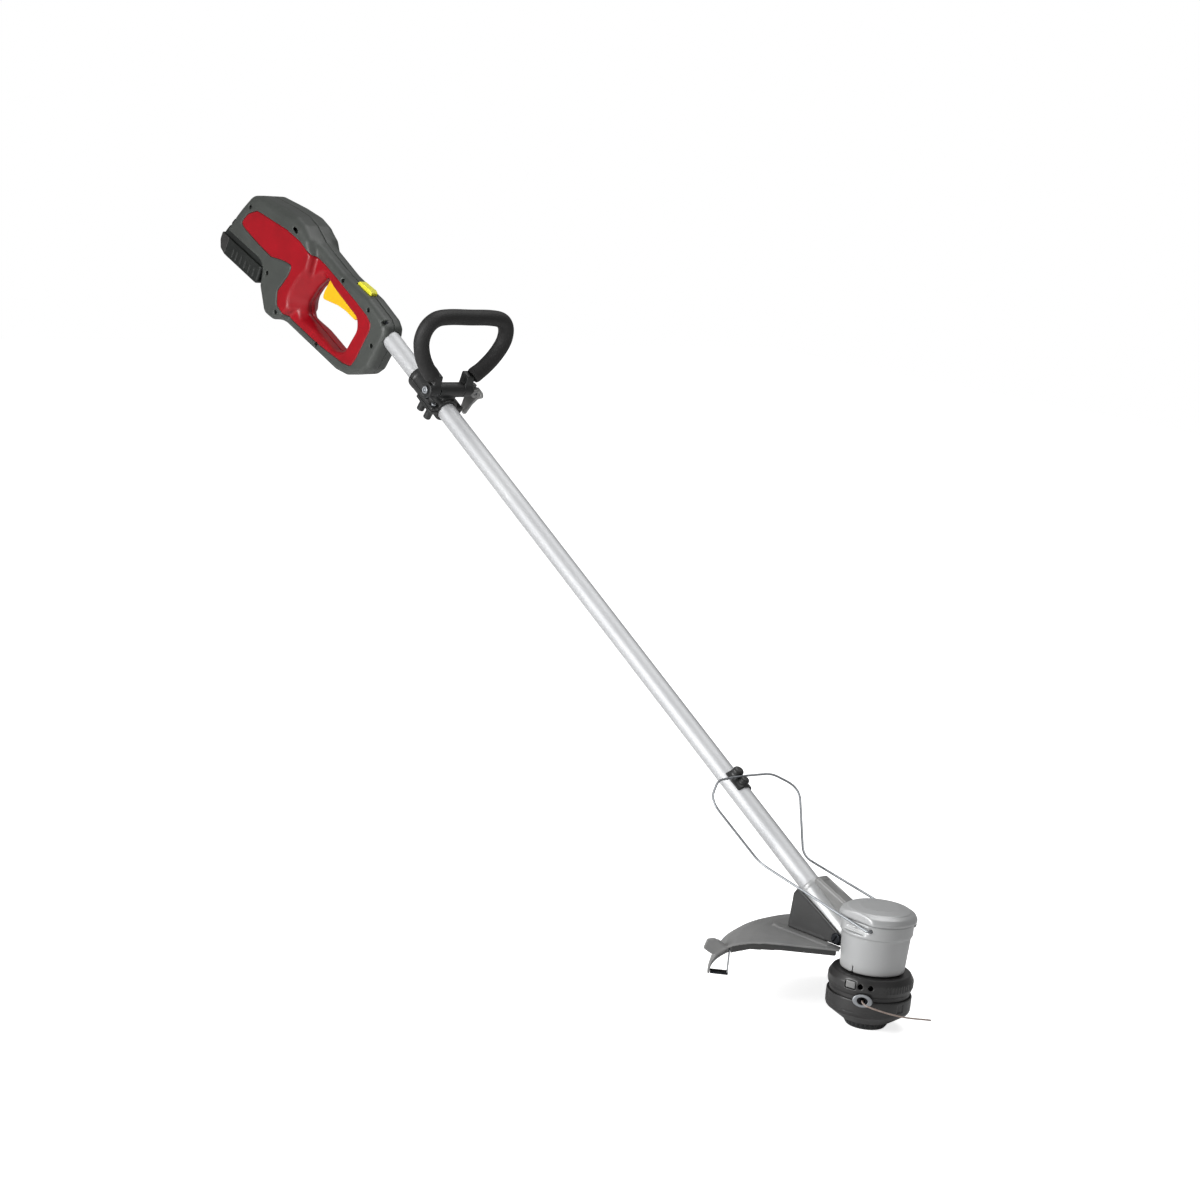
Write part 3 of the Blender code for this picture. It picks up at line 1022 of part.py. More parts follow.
def shield():
    top, thick, rim = SHIELD_TOP_Z, SHIELD_THICKNESS, SHIELD_RADIUS
    inner = MOTOR_BASE_RADIUS + 0.0021
    skirt = SHIELD_SKIRT_Z - SHIELD_ARCH
    flat, fold = rim - SHIELD_FLAT, rim - SHIELD_FOLD
    outside = [(inner, top), (flat, top), (fold, top - 0.0005), (rim - 0.047, top - 0.0025),
               (rim - 0.031, top - 0.0065), (rim - 0.019, top - 0.0120), (rim - 0.009, top - 0.0200),
               (rim - 0.0025, top - 0.0310), (rim, top - 0.042), (rim, skirt)]
    inside_line = [(rim - thick, skirt), (rim - thick, top - 0.0415), (rim - 0.0052, top - 0.0320),
                   (rim - 0.0112, top - 0.0215), (rim - 0.0206, top - 0.0142), (rim - 0.032, top - 0.0092),
                   (rim - 0.0475, top - 0.0053), (fold, top - 0.0033), (flat, top - thick),
                   (inner, top - thick)]
    dish = arched(turned(outside + inside_line, 60, closed=True))
    steps = 4
    sweep = [SHIELD_FIRST_ANGLE + (SHIELD_LAST_ANGLE - SHIELD_FIRST_ANGLE) * k / steps
             for k in range(steps + 1)]
    wedge = plate([[(0.0, 0.0)] + [(0.3 * math.cos(a), 0.3 * math.sin(a)) for a in sweep]],
                  SHIELD_SKIRT_Z, top + 0.06)
    root, bend = inner + 0.0148, rim - 0.047
    lip = [(root, top - 0.001), (flat, top - 0.001), (bend, top - 0.0040), (BLADE_RADIUS, top - 0.0110),
           (BLADE_RADIUS, top - 0.0190), (bend, top - 0.0110), (flat, top - 0.0085), (root, top - 0.0085)]
    lips = [edge_frame(side_plate([lip], *span), angle) for angle,
            span in ((SHIELD_LAST_ANGLE, (-thick, -0.00005)), (SHIELD_FIRST_ANGLE, (0.00005, thick)))]
    lug = [(rim + 0.008, top - 0.0165), (rim + 0.0045, top - 0.0050), (rim - 0.0025, top - 0.0028),
           (rim - 0.010, top - 0.0045), (rim - 0.023, top - 0.0130), (rim - 0.012, top - 0.0230),
           (rim - 0.002, top - 0.0225)]
    lug = edge_frame(side_plate([lug], -0.0060, -0.0004), SHIELD_LAST_ANGLE)
    notch = box((-0.0635, -0.0190, top - 0.02), (-0.03, 0.0190, top + 0.011))
    holes = [rod((x, 0, top - 0.02), (x, 0, top + 0.011), SHIELD_SCREW_RADIUS + GAP, sides=12)
             for x in SHIELD_SCREW_PLACES]
    body = cut(join(inside(dish, wedge), *lips, lug), notch, *holes)
    piece("debris_shield", body, SHIELD_PLASTIC, ON_HEAD)


def line_cutter():
    thick = BLADE_THICKNESS
    blade = box((BLADE_RADIUS, -0.0140, SHIELD_SKIRT_Z), (BLADE_RADIUS + thick, -0.0032,
                                                          SHIELD_TOP_Z - 0.0160))
    foot = box((BLADE_RADIUS, -0.0140, SHIELD_SKIRT_Z), (SHIELD_RADIUS - SHIELD_THICKNESS - 2 * GAP,
                                                         -0.0032, SHIELD_SKIRT_Z + 0.0025))
    piece("line_cutter_blade", edge_frame(join(blade, foot), SHIELD_LAST_ANGLE), STEEL, ON_HEAD)


def shield_bracket():
    plate_y = NECK_RADIUS + 2 * GAP
    outline = [(-0.0380, BRACKET_BASE_Z), (-0.0378, BRACKET_APEX_Z - 0.0400),
               (-0.046, BRACKET_APEX_Z - 0.0345), (-0.079, BRACKET_APEX_Z - 0.0175),
               (BRACKET_REAR_X + 0.009, BRACKET_APEX_Z), (BRACKET_REAR_X + 0.0035, BRACKET_APEX_Z - 0.008),
               (BRACKET_REAR_X, BRACKET_BASE_Z)]
    sides = [side_plate([outline], low, low + BRACKET_PLATE) for low in (plate_y, -plate_y - BRACKET_PLATE)]
    base = box((BRACKET_REAR_X + 0.0002, -plate_y - BRACKET_PLATE + 0.0002, BRACKET_BASE_Z),
               (-0.0645, plate_y + BRACKET_PLATE - 0.0002, BRACKET_BASE_Z + BRACKET_PLATE))
    rear = box((BRACKET_REAR_X + 0.0004, -plate_y - 0.001, BRACKET_BASE_Z + 0.0005),
               (BRACKET_REAR_X + 0.0035, plate_y + 0.001, BRACKET_BASE_Z + 0.0187))
    holes = [rod((x, 0, BRACKET_BASE_Z - 0.01), (x, 0, BRACKET_BASE_Z + 0.01),
                 SHIELD_SCREW_RADIUS + GAP, sides=12)
             for x in SHIELD_SCREW_PLACES]
    s, u = BRACKET_SCREW_S, BRACKET_SCREW_U
    holes.append(shaft_frame(rod((s, -0.03, u), (s, 0.03, u), BRACKET_SCREW_RADIUS + GAP, sides=14)))
    piece("shield_bracket", cut(join(sides[0], sides[1], base, rear), *holes), BRACKET_GREY, ON_HEAD)
    outer = plate_y + BRACKET_PLATE + GAP
    for side, word in ((1, "right"), (-1, "left")):
        shank = rod((s, side * 0.0115, u), (s, side * (outer + 0.001), u), BRACKET_SCREW_RADIUS, sides=12)
        head = rod((s, side * outer, u), (s, side * (outer + 0.0036), u), BRACKET_SCREW_HEAD,
                   BRACKET_SCREW_HEAD - 0.0012, sides=20)
        piece("bracket_screw_" + word, join(head, shank), BLACK_STEEL, ON_SHAFT)
    for number, x in enumerate(SHIELD_SCREW_PLACES, start=1):
        under = SHIELD_TOP_Z - SHIELD_THICKNESS - 2 * GAP
        head = rod((x, 0, under - 0.0025), (x, 0, under), 0.0042, sides=14)
        shank = rod((x, 0, under - 0.001), (x, 0, BRACKET_BASE_Z + BRACKET_PLATE + 0.0015),
                    SHIELD_SCREW_RADIUS, sides=10)
        piece("shield_screw_%d" % number, join(head, shank), STEEL, ON_HEAD)


shaft_tube()
rear_housing()
housing_screws()
trigger()
lock_button()
trigger_switch()
control_board()
terminal_block()
battery()
motor_cable()
clamp()
clamp_lever()
loop_handle()
guard_wire()
wire_clip()
motor_housing()
motor_cap()
motor()
spool_housing()
spool_cover()
eyelet()
arbor_nut()
bump_feed()
cutting_line()
shield()
line_cutter()
shield_bracket()
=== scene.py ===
import math

import bmesh
import bpy
import numpy as np
from mathutils import Matrix, Vector


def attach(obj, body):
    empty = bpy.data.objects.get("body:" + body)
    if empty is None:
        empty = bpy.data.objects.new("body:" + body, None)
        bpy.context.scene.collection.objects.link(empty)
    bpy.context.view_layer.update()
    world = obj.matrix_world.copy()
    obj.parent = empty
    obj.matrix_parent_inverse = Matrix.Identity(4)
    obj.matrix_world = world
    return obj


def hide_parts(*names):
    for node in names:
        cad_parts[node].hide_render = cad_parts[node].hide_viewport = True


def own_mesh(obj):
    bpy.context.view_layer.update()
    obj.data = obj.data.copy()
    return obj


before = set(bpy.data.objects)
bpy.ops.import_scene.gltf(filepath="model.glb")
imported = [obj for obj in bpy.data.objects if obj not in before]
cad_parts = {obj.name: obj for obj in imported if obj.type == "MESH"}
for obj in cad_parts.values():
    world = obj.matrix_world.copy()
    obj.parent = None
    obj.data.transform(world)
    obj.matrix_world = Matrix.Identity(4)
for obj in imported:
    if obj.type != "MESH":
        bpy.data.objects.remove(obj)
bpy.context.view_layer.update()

# Camera. It stands where the photograph was taken from: in front of the head and to the operator's
# right, a little above it, with the horizon tilted by six degrees. The lens is long, so the tube
# hardly tapers.
CAMERA_PLACE = Vector((2.24827, -2.66474, 1.12936))
CAMERA_AZIMUTH = math.radians(46.2988)
CAMERA_ELEVATION = math.radians(10.5335)
CAMERA_ROLL = math.radians(6.0467)
CAMERA_LENS = 89.5233

lens = bpy.data.cameras.new("studio_camera")
lens.sensor_width = 36.0
lens.lens = CAMERA_LENS
lens.clip_start = 0.05
lens.clip_end = 60.0
camera = bpy.data.objects.new("studio_camera", lens)
bpy.context.scene.collection.objects.link(camera)
back = Vector((math.sin(CAMERA_AZIMUTH) * math.cos(CAMERA_ELEVATION),
               -math.cos(CAMERA_AZIMUTH) * math.cos(CAMERA_ELEVATION), math.sin(CAMERA_ELEVATION)))
level = Vector((math.cos(CAMERA_AZIMUTH), math.sin(CAMERA_AZIMUTH), 0.0))
upright = back.cross(level)
right = level * math.cos(CAMERA_ROLL) + upright * math.sin(CAMERA_ROLL)
up = upright * math.cos(CAMERA_ROLL) - level * math.sin(CAMERA_ROLL)
camera.matrix_world = Matrix.Translation(CAMERA_PLACE) @ Matrix((right, up, back)).transposed().to_4x4()
bpy.context.scene.camera = camera
bpy.context.scene.view_settings.view_transform = "Standard"


# Cutting line. One stiff nylon monofilament, 2 mm thick, comes off the coil inside the head and goes
# out through the eyelet. It is bare and cut off square at its end, and keeps the curl of the spool.
LINE_RADIUS = 0.0010
EYELET_ANGLE = math.radians(-56.7)
EYELET_HEIGHT = 0.0445
LINE_SIDES = 12
CREASE = math.radians(40)


def feed(tree, made, inputs):
    """Gives each input of a node a value, or a link when it is given a socket."""
    for key, value in inputs.items():
        if isinstance(value, bpy.types.NodeSocket):
            tree.links.new(value, made.inputs[key])
        else:
            made.inputs[key].default_value = value


def node(tree, kind, inputs=None, **settings):
    """Adds a node with its settings and its inputs."""
    made = tree.nodes.new(kind)
    for key, value in settings.items():
        setattr(made, key, value)
    feed(tree, made, inputs or {})
    return made


def noise(tree, place, scale, detail=2.0):
    """A soft noise from 0 to 1, with that many waves to the metre."""
    return node(tree, "ShaderNodeTexNoise",
                {"Vector": place, "Scale": scale, "Detail": detail}).outputs["Fac"]


def tones(tree, shade, dark, light, start=0.0, end=1.0):
    """A colour that goes from one sRGB value to another while the shade goes from start to end."""
    ramp = node(tree, "ShaderNodeValToRGB", {"Fac": shade})
    for stop, at, code in zip(ramp.color_ramp.elements, (start, end), (dark, light)):
        stop.position = at
        stop.color = tint(code)
    return ramp.outputs["Color"]


def spread(tree, shade, low, high):
    """The shade from 0 to 1 spread over another range."""
    return node(tree, "ShaderNodeMapRange",
                {"Value": shade, "To Min": low, "To Max": high}).outputs["Result"]


def relief(tree, height, strength, depth):
    """The normals of a fine relief with that depth in metres."""
    return node(tree, "ShaderNodeBump",
                {"Height": height, "Strength": strength, "Distance": depth}).outputs["Normal"]


def tint(code):
    """The linear colour of an sRGB hex value."""
    parts = [int(code[i:i + 2], 16) / 255 for i in (1, 3, 5)]
    return (*[c / 12.92 if c <= 0.04045 else ((c + 0.055) / 1.055) ** 2.4 for c in parts], 1.0)


def new_finish(name):
    """An empty material, its tree, its shader and a socket with the object coordinates."""
    made = bpy.data.materials.new(name)
    made.use_nodes = True
    tree = made.node_tree
    place = node(tree, "ShaderNodeTexCoord").outputs["Object"]
    return made, tree, tree.nodes["Principled BSDF"], place


def smooth_route(points, spacing):
    """Points at an even spacing on a smooth curve through the given ones."""
    given = [Vector(p) for p in points]
    given = [given[0] * 2 - given[1]] + given + [given[-1] * 2 - given[-2]]
    dense = []
    for a, b, c, d in zip(given, given[1:], given[2:], given[3:]):
        for k in range(24):
            t = k / 24
            dense.append(0.5 * (2 * b + (c - a) * t + (2 * a - 5 * b + 4 * c - d) * t * t
                                + (3 * b - 3 * c + d - a) * t ** 3))
    dense.append(given[-2])
    total = sum((q - p).length for p, q in zip(dense, dense[1:]))
    count = max(2, round(total / spacing))
    out = [dense[0]]
    walked = 0.0
    for p, q in zip(dense, dense[1:]):
        step = (q - p).length
        while len(out) < count and walked + step >= total * len(out) / count:
            out.append(p.lerp(q, (total * len(out) / count - walked) / step))
        walked += step
    out.append(dense[-1])
    return out


def swept(name, route, radius_at, sides):
    """A closed tube along a route: radius_at gives its radius at each share of the way."""
    rings = []
    side = (route[1] - route[0]).normalized().orthogonal().normalized()
    for i, here in enumerate(route):
        ahead = (route[min(i + 1, len(route) - 1)] - route[max(i - 1, 0)]).normalized()
        side = (side - ahead * side.dot(ahead)).normalized()
        other = ahead.cross(side)
        radius = radius_at(i / (len(route) - 1))
        rings.append([here + (side * math.cos(a) + other * math.sin(a)) * radius
                      for a in (2 * math.pi * k / sides for k in range(sides))])
    points = [p for ring in rings for p in ring] + [route[0], route[-1]]
    faces = [(i * sides + k, i * sides + (k + 1) % sides, (i + 1) * sides + (k + 1) % sides,
              (i + 1) * sides + k) for i in range(len(route) - 1) for k in range(sides)]
    last = (len(route) - 1) * sides
    faces += [((k + 1) % sides, k, len(points) - 2) for k in range(sides)]
    faces += [(last + k, last + (k + 1) % sides, len(points) - 1) for k in range(sides)]
    return mesh_object(name, points, faces)


def mesh_object(name, points, faces):
    """A smooth mesh with its faces turned outward and its creases kept sharp."""
    mesh = bpy.data.meshes.new(name)
    mesh.from_pydata(points, [], faces)
    made = bpy.data.objects.new(name, mesh)
    bpy.context.scene.collection.objects.link(made)
    work = bmesh.new()
    work.from_mesh(mesh)
    bmesh.ops.recalc_face_normals(work, faces=work.faces)
    work.to_mesh(mesh)
    work.free()
    mesh.shade_smooth()
    mesh.set_sharp_from_angle(angle=CREASE)
    return made


def finished(made, finish, slot, body, *nodes):
    """Gives a piece its finish and hangs it on its body in place of CAD nodes; the slot is not used."""
    made.data.materials.clear()
    made.data.materials.append(finish)
    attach(made, body)
    if nodes:
        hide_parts(*nodes)
    return made


def nylon_line():
    """Extruded nylon monofilament: a dusty brown grey, slightly see-through, with fine draw lines."""
    made, tree, shader, place = new_finish("extruded_nylon_monofilament")
    feed(tree, shader, {"Base Color": tones(tree, noise(tree, place, 240.0), "#7a6a63", "#a49389"),
                        "Normal": relief(tree, noise(tree, place, 900.0), 0.2, 0.0002),
                        "Roughness": 0.38, "IOR": 1.53, "Subsurface Weight": 0.15,
                        "Subsurface Radius": (0.002, 0.0015, 0.001)})
    return made


LINE_FINISH = nylon_line()
line_out = Vector((math.cos(EYELET_ANGLE), math.sin(EYELET_ANGLE), 0))
line_route = smooth_route([line_out * 0.0373 + Vector((0, 0, 0.0400)),
                           line_out * 0.0420 + Vector((0, 0, 0.0408)),
                           line_out * 0.0475 + Vector((0, 0, 0.0432)),
                           line_out * 0.0560 + Vector((0, 0, EYELET_HEIGHT)),
                           (0.0400, -0.0505, 0.0432), (0.0525, -0.0440, 0.0405),
                           (0.0650, -0.0310, 0.0370), (0.0760, -0.0150, 0.0340),
                           (0.0905, 0.0120, 0.0315)], 0.0035)
line = swept("cutting_line_free", line_route, lambda share: LINE_RADIUS, LINE_SIDES)
finished(line, LINE_FINISH, "nylon_cutting_line", "cutting_head", "cutting_line")


# Studio. A white floor under the head and soft lamps: a broad one on the operator's right, level with
# the handle, one overhead, and a weak one in front. The white behind it all is the world's.
FLOOR_HALF = 6.0
FLOOR_LIFT = 0.75
WORLD_FILL = 0.12
WORLD_GLOSS = 0.30
WHITE = (1.0, 1.0, 1.0, 1.0)
LAMPS = [("key", (-0.9, -2.6, 0.9), (0.0, 0.0, 0.2), 1.2, 78.0),
         ("overhead", (-0.3, 0.6, 3.2), (-0.4, 0.0, 0.4), 2.4, 60.0),
         ("front", (3.0, -1.0, 1.2), (-0.4, 0.0, 0.4), 1.2, 6.0)]

floor = mesh_object("studio_floor", [(-FLOOR_HALF, -FLOOR_HALF, 0), (FLOOR_HALF, -FLOOR_HALF, 0),
                                     (FLOOR_HALF, FLOOR_HALF, 0), (-FLOOR_HALF, FLOOR_HALF, 0)],
                    [(0, 1, 2, 3)])
paper, tree, shader, place = new_finish("white_studio_paper")
seen = node(tree, "ShaderNodeLightPath")
reach = node(tree, "ShaderNodeVectorMath", {0: place}, operation="LENGTH")
lift = node(tree, "ShaderNodeMapRange", {"Value": reach.outputs["Value"], "From Min": 0.5,
                                         "From Max": 1.6, "To Min": FLOOR_LIFT, "To Max": 1.0},
            interpolation_type="SMOOTHSTEP")
glow = node(tree, "ShaderNodeMath", {0: seen.outputs["Is Camera Ray"], 1: lift.outputs["Result"]},
            operation="MULTIPLY")
feed(tree, shader, {"Base Color": tones(tree, noise(tree, place, 60.0, 4.0), "#f6f6f6", "#fbfbfb"),
                    "Roughness": 0.9, "Emission Color": WHITE, "Emission Strength": glow.outputs["Value"]})
floor.data.materials.append(paper)

world = bpy.data.worlds.new("white_studio")
bpy.context.scene.world = world
world.use_nodes = True
tree = world.node_tree
seen = node(tree, "ShaderNodeLightPath")
clear = node(tree, "ShaderNodeMath", {0: seen.outputs["Is Camera Ray"],
                                      1: seen.outputs["Is Transmission Ray"]}, operation="MAXIMUM")
lit = spread(tree, seen.outputs["Is Glossy Ray"], WORLD_FILL, WORLD_GLOSS)
strength = node(tree, "ShaderNodeMath", {0: clear.outputs["Value"], 1: lit}, operation="MAXIMUM")
feed(tree, tree.nodes["Background"], {"Strength": strength.outputs["Value"], "Color": WHITE})

for name, place, aim, size, power in LAMPS:
    lamp = bpy.data.lights.new("lamp_" + name, "AREA")
    lamp.size = size
    lamp.energy = power
    holder = bpy.data.objects.new("lamp_" + name, lamp)
    bpy.context.scene.collection.objects.link(holder)
    holder.location = place
    holder.rotation_euler = (Vector(aim) - Vector(place)).to_track_quat("-Z", "Y").to_euler()


# Shaft tube. Drawn aluminium tube, 26 mm across with a 1.5 mm wall, satin anodised in its natural
# colour. It is pressed into the motor housing's neck and held between the rear housing's halves.
SHAFT_ANGLE = math.radians(31.0)
AXIS_MEET_HEIGHT = 0.075
TUBE_RADIUS = 0.0130
TUBE_WALL = 0.0015
TUBE_FRONT = 0.062
TUBE_REAR = 1.230
TUBE_EASE = 0.0004
TUBE_SIDES = 96

SHAFT = Matrix.Translation((0, 0, AXIS_MEET_HEIGHT)) @ Matrix.Rotation(math.pi, 4, "Z") \
    @ Matrix.Rotation(-SHAFT_ANGLE, 4, "Y")


def placed(made, matrix):
    """The piece with its mesh moved to its place, so that the object stays at the origin."""
    made.data.transform(matrix)
    return made


def turned(name, profile, sides, closed=True):
    """A solid turned about Z from (radius, height) points, open at the axis where they end on it."""
    points = []
    columns = []
    for radius, height in profile:
        if radius < 1e-7:
            columns.append([len(points)] * sides)
            points.append((0.0, 0.0, height))
        else:
            columns.append(list(range(len(points), len(points) + sides)))
            points += [(radius * math.cos(2 * math.pi * k / sides),
                        radius * math.sin(2 * math.pi * k / sides), height) for k in range(sides)]
    faces = []
    pairs = list(zip(columns, columns[1:])) + ([(columns[-1], columns[0])] if closed else [])
    for one, two in pairs:
        for k in range(sides):
            j = (k + 1) % sides
            face = list(dict.fromkeys((one[k], one[j], two[j], two[k])))
            if len(face) > 2:
                faces.append(face)
    return mesh_object(name, points, faces)


def satin_aluminium():
    """Anodised aluminium: a pale metal with fine draw lines along the tube, and a soft white sheen."""
    made, tree, shader, place = new_finish("satin_anodised_aluminium")
    turn = node(tree, "ShaderNodeMapping", {"Vector": place, "Rotation": (0.0, SHAFT_ANGLE, 0.0)})
    # Draw lines run along the tube: 40 times finer across it than along it.
    stretch = node(tree, "ShaderNodeMapping", {"Vector": turn.outputs["Vector"],
                                               "Scale": (20.0, 800.0, 800.0)})
    lines = noise(tree, stretch.outputs["Vector"], 1.0, 3.0)
    feed(tree, shader, {"Base Color": tones(tree, noise(tree, place, 14.0), "#b5b6b8", "#c1c2c3"),
                        "Roughness": spread(tree, lines, 0.53, 0.67),
                        "Normal": relief(tree, lines, 0.12, 0.0002), "Metallic": 0.60})
    return made


ALUMINIUM = satin_aluminium()
bore = TUBE_RADIUS - TUBE_WALL
tube = turned("shaft_tube_drawn", [(TUBE_RADIUS, TUBE_FRONT + TUBE_EASE),
                                   (TUBE_RADIUS, TUBE_REAR - TUBE_EASE),
                                   (TUBE_RADIUS - TUBE_EASE, TUBE_REAR), (bore, TUBE_REAR),
                                   (bore, TUBE_FRONT), (TUBE_RADIUS - TUBE_EASE, TUBE_FRONT)], TUBE_SIDES)
placed(tube, SHAFT @ Matrix.Rotation(math.pi / 2, 4, "Y"))
finished(tube, ALUMINIUM, "satin_anodised_aluminium", "trimmer", "shaft_tube")


# Rear housing. Two injection-moulded shells of grey glass-filled nylon meet on the middle plane and
# carry everything behind the tube. The hand opening goes through them, and a red cover wraps the
# opening and the side of each. All of it has generous moulded radii.
HOUSING_WALL = 0.0030
HOUSING_CELL = 0.00125
LOOP_HALF_WIDTH = 0.0180
LOOP_ROUNDING = 0.0095
BODY_HALF_WIDTH = 0.0310
BODY_ROUNDING = 0.0125
FRONT_ROUNDING = 0.0080
BODY_BLEND = 0.0070
BOWL_DEPTH = 0.0240
BOWL_WALL = 0.0055
SIDE_CROWN = 0.0015
SEAM = 0.0004
SLOT_GAP = 0.0007
PARTING = 0.00015
COVER_SINK = 0.0006
LOOP_OUTLINE = [(1.187, -0.052), (1.187, 0.006), (1.193, 0.018), (1.207, 0.0235), (1.252, 0.024),
                (1.318, 0.0155), (1.392, 0.0140), (1.430, 0.0140), (1.430, -0.122), (1.400, -0.127),
                (1.305, -0.112), (1.249, -0.103), (1.226, -0.094), (1.194, -0.066)]
HAND_OPENING = [(1.256, -0.0165), (1.350, -0.0165), (1.361, -0.045), (1.365, -0.075), (1.356, -0.087),
                (1.268, -0.082), (1.250, -0.070), (1.247, -0.028)]
BODY_OUTLINE = [(1.400, 0.0145), (1.424, 0.0205), (1.448, 0.0195), (1.484, 0.009), (1.536, -0.010),
                (1.552, -0.022), (1.561, -0.050), (1.5740, -0.1035, 0.001), (1.468, -0.0860),
                (1.456, -0.113), (1.421, -0.139), (1.400, -0.133), (1.383, -0.118), (1.370, -0.088),
                (1.369, -0.040), (1.380, -0.002)]
COVER_OUTLINE = [(1.545, -0.067), (1.538, -0.045), (1.524, -0.029), (1.509, -0.024), (1.489, -0.018),
                 (1.449, -0.006), (1.413, 0.000), (1.380, -0.002), (1.358, 0.001), (1.313, 0.003),
                 (1.271, 0.004), (1.239, 0.004), (1.224, 0.001), (1.220, -0.007), (1.219, -0.059),
                 (1.222, -0.075), (1.239, -0.083), (1.303, -0.099), (1.373, -0.110), (1.400, -0.106),
                 (1.411, -0.088), (1.405, -0.058), (1.405, -0.038), (1.428, -0.046), (1.455, -0.060),
                 (1.487, -0.064), (1.525, -0.067)]
HOUSING_SCREWS = [(1.432, 0.006), (1.447, -0.084), (1.396, -0.116), (1.304, -0.1015), (1.312, 0.0085),
                  (1.240, 0.0130), (1.204, 0.0185), (1.203, -0.0220), (1.540, -0.034)]
SCREW_WELL_RADIUS = 0.0033
SCREW_SEAT = 0.0080
TRIGGER_PIVOT = (1.2620, -0.0080)
TRIGGER_HALF_WIDTH = 0.0065
BUTTON_FRONT = 1.2600
BUTTON_LENGTH = 0.0345
BUTTON_HALF_WIDTH = 0.0060
BATTERY_TILT = math.radians(9.5)
BATTERY_PLACE = (1.458, -0.114)
BATTERY_RAIL = 0.0280
BATTERY_SHOWN = 0.0287
BAY_CEILING = 0.0588
CORNER_STEPS = 5


def bend(before, here, after, radius, steps):
    """The points of a round bend in place of the corner here."""
    back, ahead = before - here, after - here
    reach = min(radius / math.tan(back.angle(ahead) / 2), back.length * 0.45, ahead.length * 0.45)
    first = here + back.normalized() * reach
    last = here + ahead.normalized() * reach
    return [first * (1 - t) ** 2 + here * 2 * t * (1 - t) + last * t ** 2
            for t in (k / steps for k in range(steps + 1))]


def rounded_outline(points, radius):
    """The outline with its corners rounded: a third number is that corner's own radius."""
    places = [Vector(corner[:2]) for corner in points]
    out = []
    for i, corner in enumerate(points):
        wanted = corner[2] if len(corner) > 2 else radius
        following = places[(i + 1) % len(points)]
        out += [tuple(p) for p in bend(places[i - 1], places[i], following, wanted, CORNER_STEPS)]
    return out


def from_outline(outline, a, b):
    """Distance of each point (a, b) from a closed outline, negative inside it."""
    nearest = np.full(np.broadcast(a, b).shape, 1e9, np.float32)
    inside = np.zeros(nearest.shape, bool)
    for (x0, y0), (x1, y1) in zip(outline, outline[1:] + outline[:1]):
        dx, dy = x1 - x0, y1 - y0
        share = np.clip(((a - x0) * dx + (b - y0) * dy) / max(dx * dx + dy * dy, 1e-12), 0, 1)
        nearest = np.minimum(nearest, (a - x0 - share * dx) ** 2 + (b - y0 - share * dy) ** 2)
        if dy:
            inside ^= ((y0 > b) != (y1 > b)) & (a < x0 + (b - y0) * dx / dy)
    return np.where(inside, -1, 1) * np.sqrt(nearest)


def both(a, b, rounding=0.0):
    """The distance from where two forms overlap, with the edge between them rounded."""
    one, two = a + rounding, b + rounding
    return np.minimum(np.maximum(one, two), 0) + np.hypot(np.maximum(one, 0), np.maximum(two, 0)) - rounding


def either_form(a, b, blend):
    """The distance from two forms joined, with a fillet of about that size where they meet."""
    share = np.clip(0.5 + 0.5 * (b - a) / blend, 0, 1)
    return b * (1 - share) + a * share - blend * share * (1 - share)


def without(a, b, blend=0.0001):
    """The distance from the first form with the second cut out of it."""
    return -either_form(-a, b, blend)


def block(x, y, z, low, high, rounding=0.0):
    """The distance from a box, rounded on its edges."""
    gaps = [np.abs(v - (l + h) / 2) - (h - l) / 2 for v, l, h in zip((x, y, z), low, high)]
    return both(both(gaps[0], gaps[1], rounding), gaps[2], rounding)


def bar(x, y, z, start, end, radius, rounding=0.0005, end_radius=None):
    """The distance from a round bar or a cone between two points, with flat ends."""
    start, end = Vector(start), Vector(end)
    axis = (end - start).normalized()
    half = (end - start).length / 2
    along = (x - start.x) * axis.x + (y - start.y) * axis.y + (z - start.z) * axis.z
    square = (x - start.x) ** 2 + (y - start.y) ** 2 + (z - start.z) ** 2 - along ** 2
    taper = 0.0 if end_radius is None else (end_radius - radius) / (2 * half)
    return both(np.sqrt(np.maximum(square, 0)) - radius - taper * np.clip(along, 0, 2 * half),
                np.abs(along - half) - half, rounding)


def space(low, high, cell):
    """Open grids of the three coordinates over a box."""
    return np.ogrid[tuple(slice(l, h, cell) for l, h in zip(low, high))]


def repeated(value, pitch):
    """The value within its own pitch, from the middle of it."""
    return (value + pitch / 2) % pitch - pitch / 2


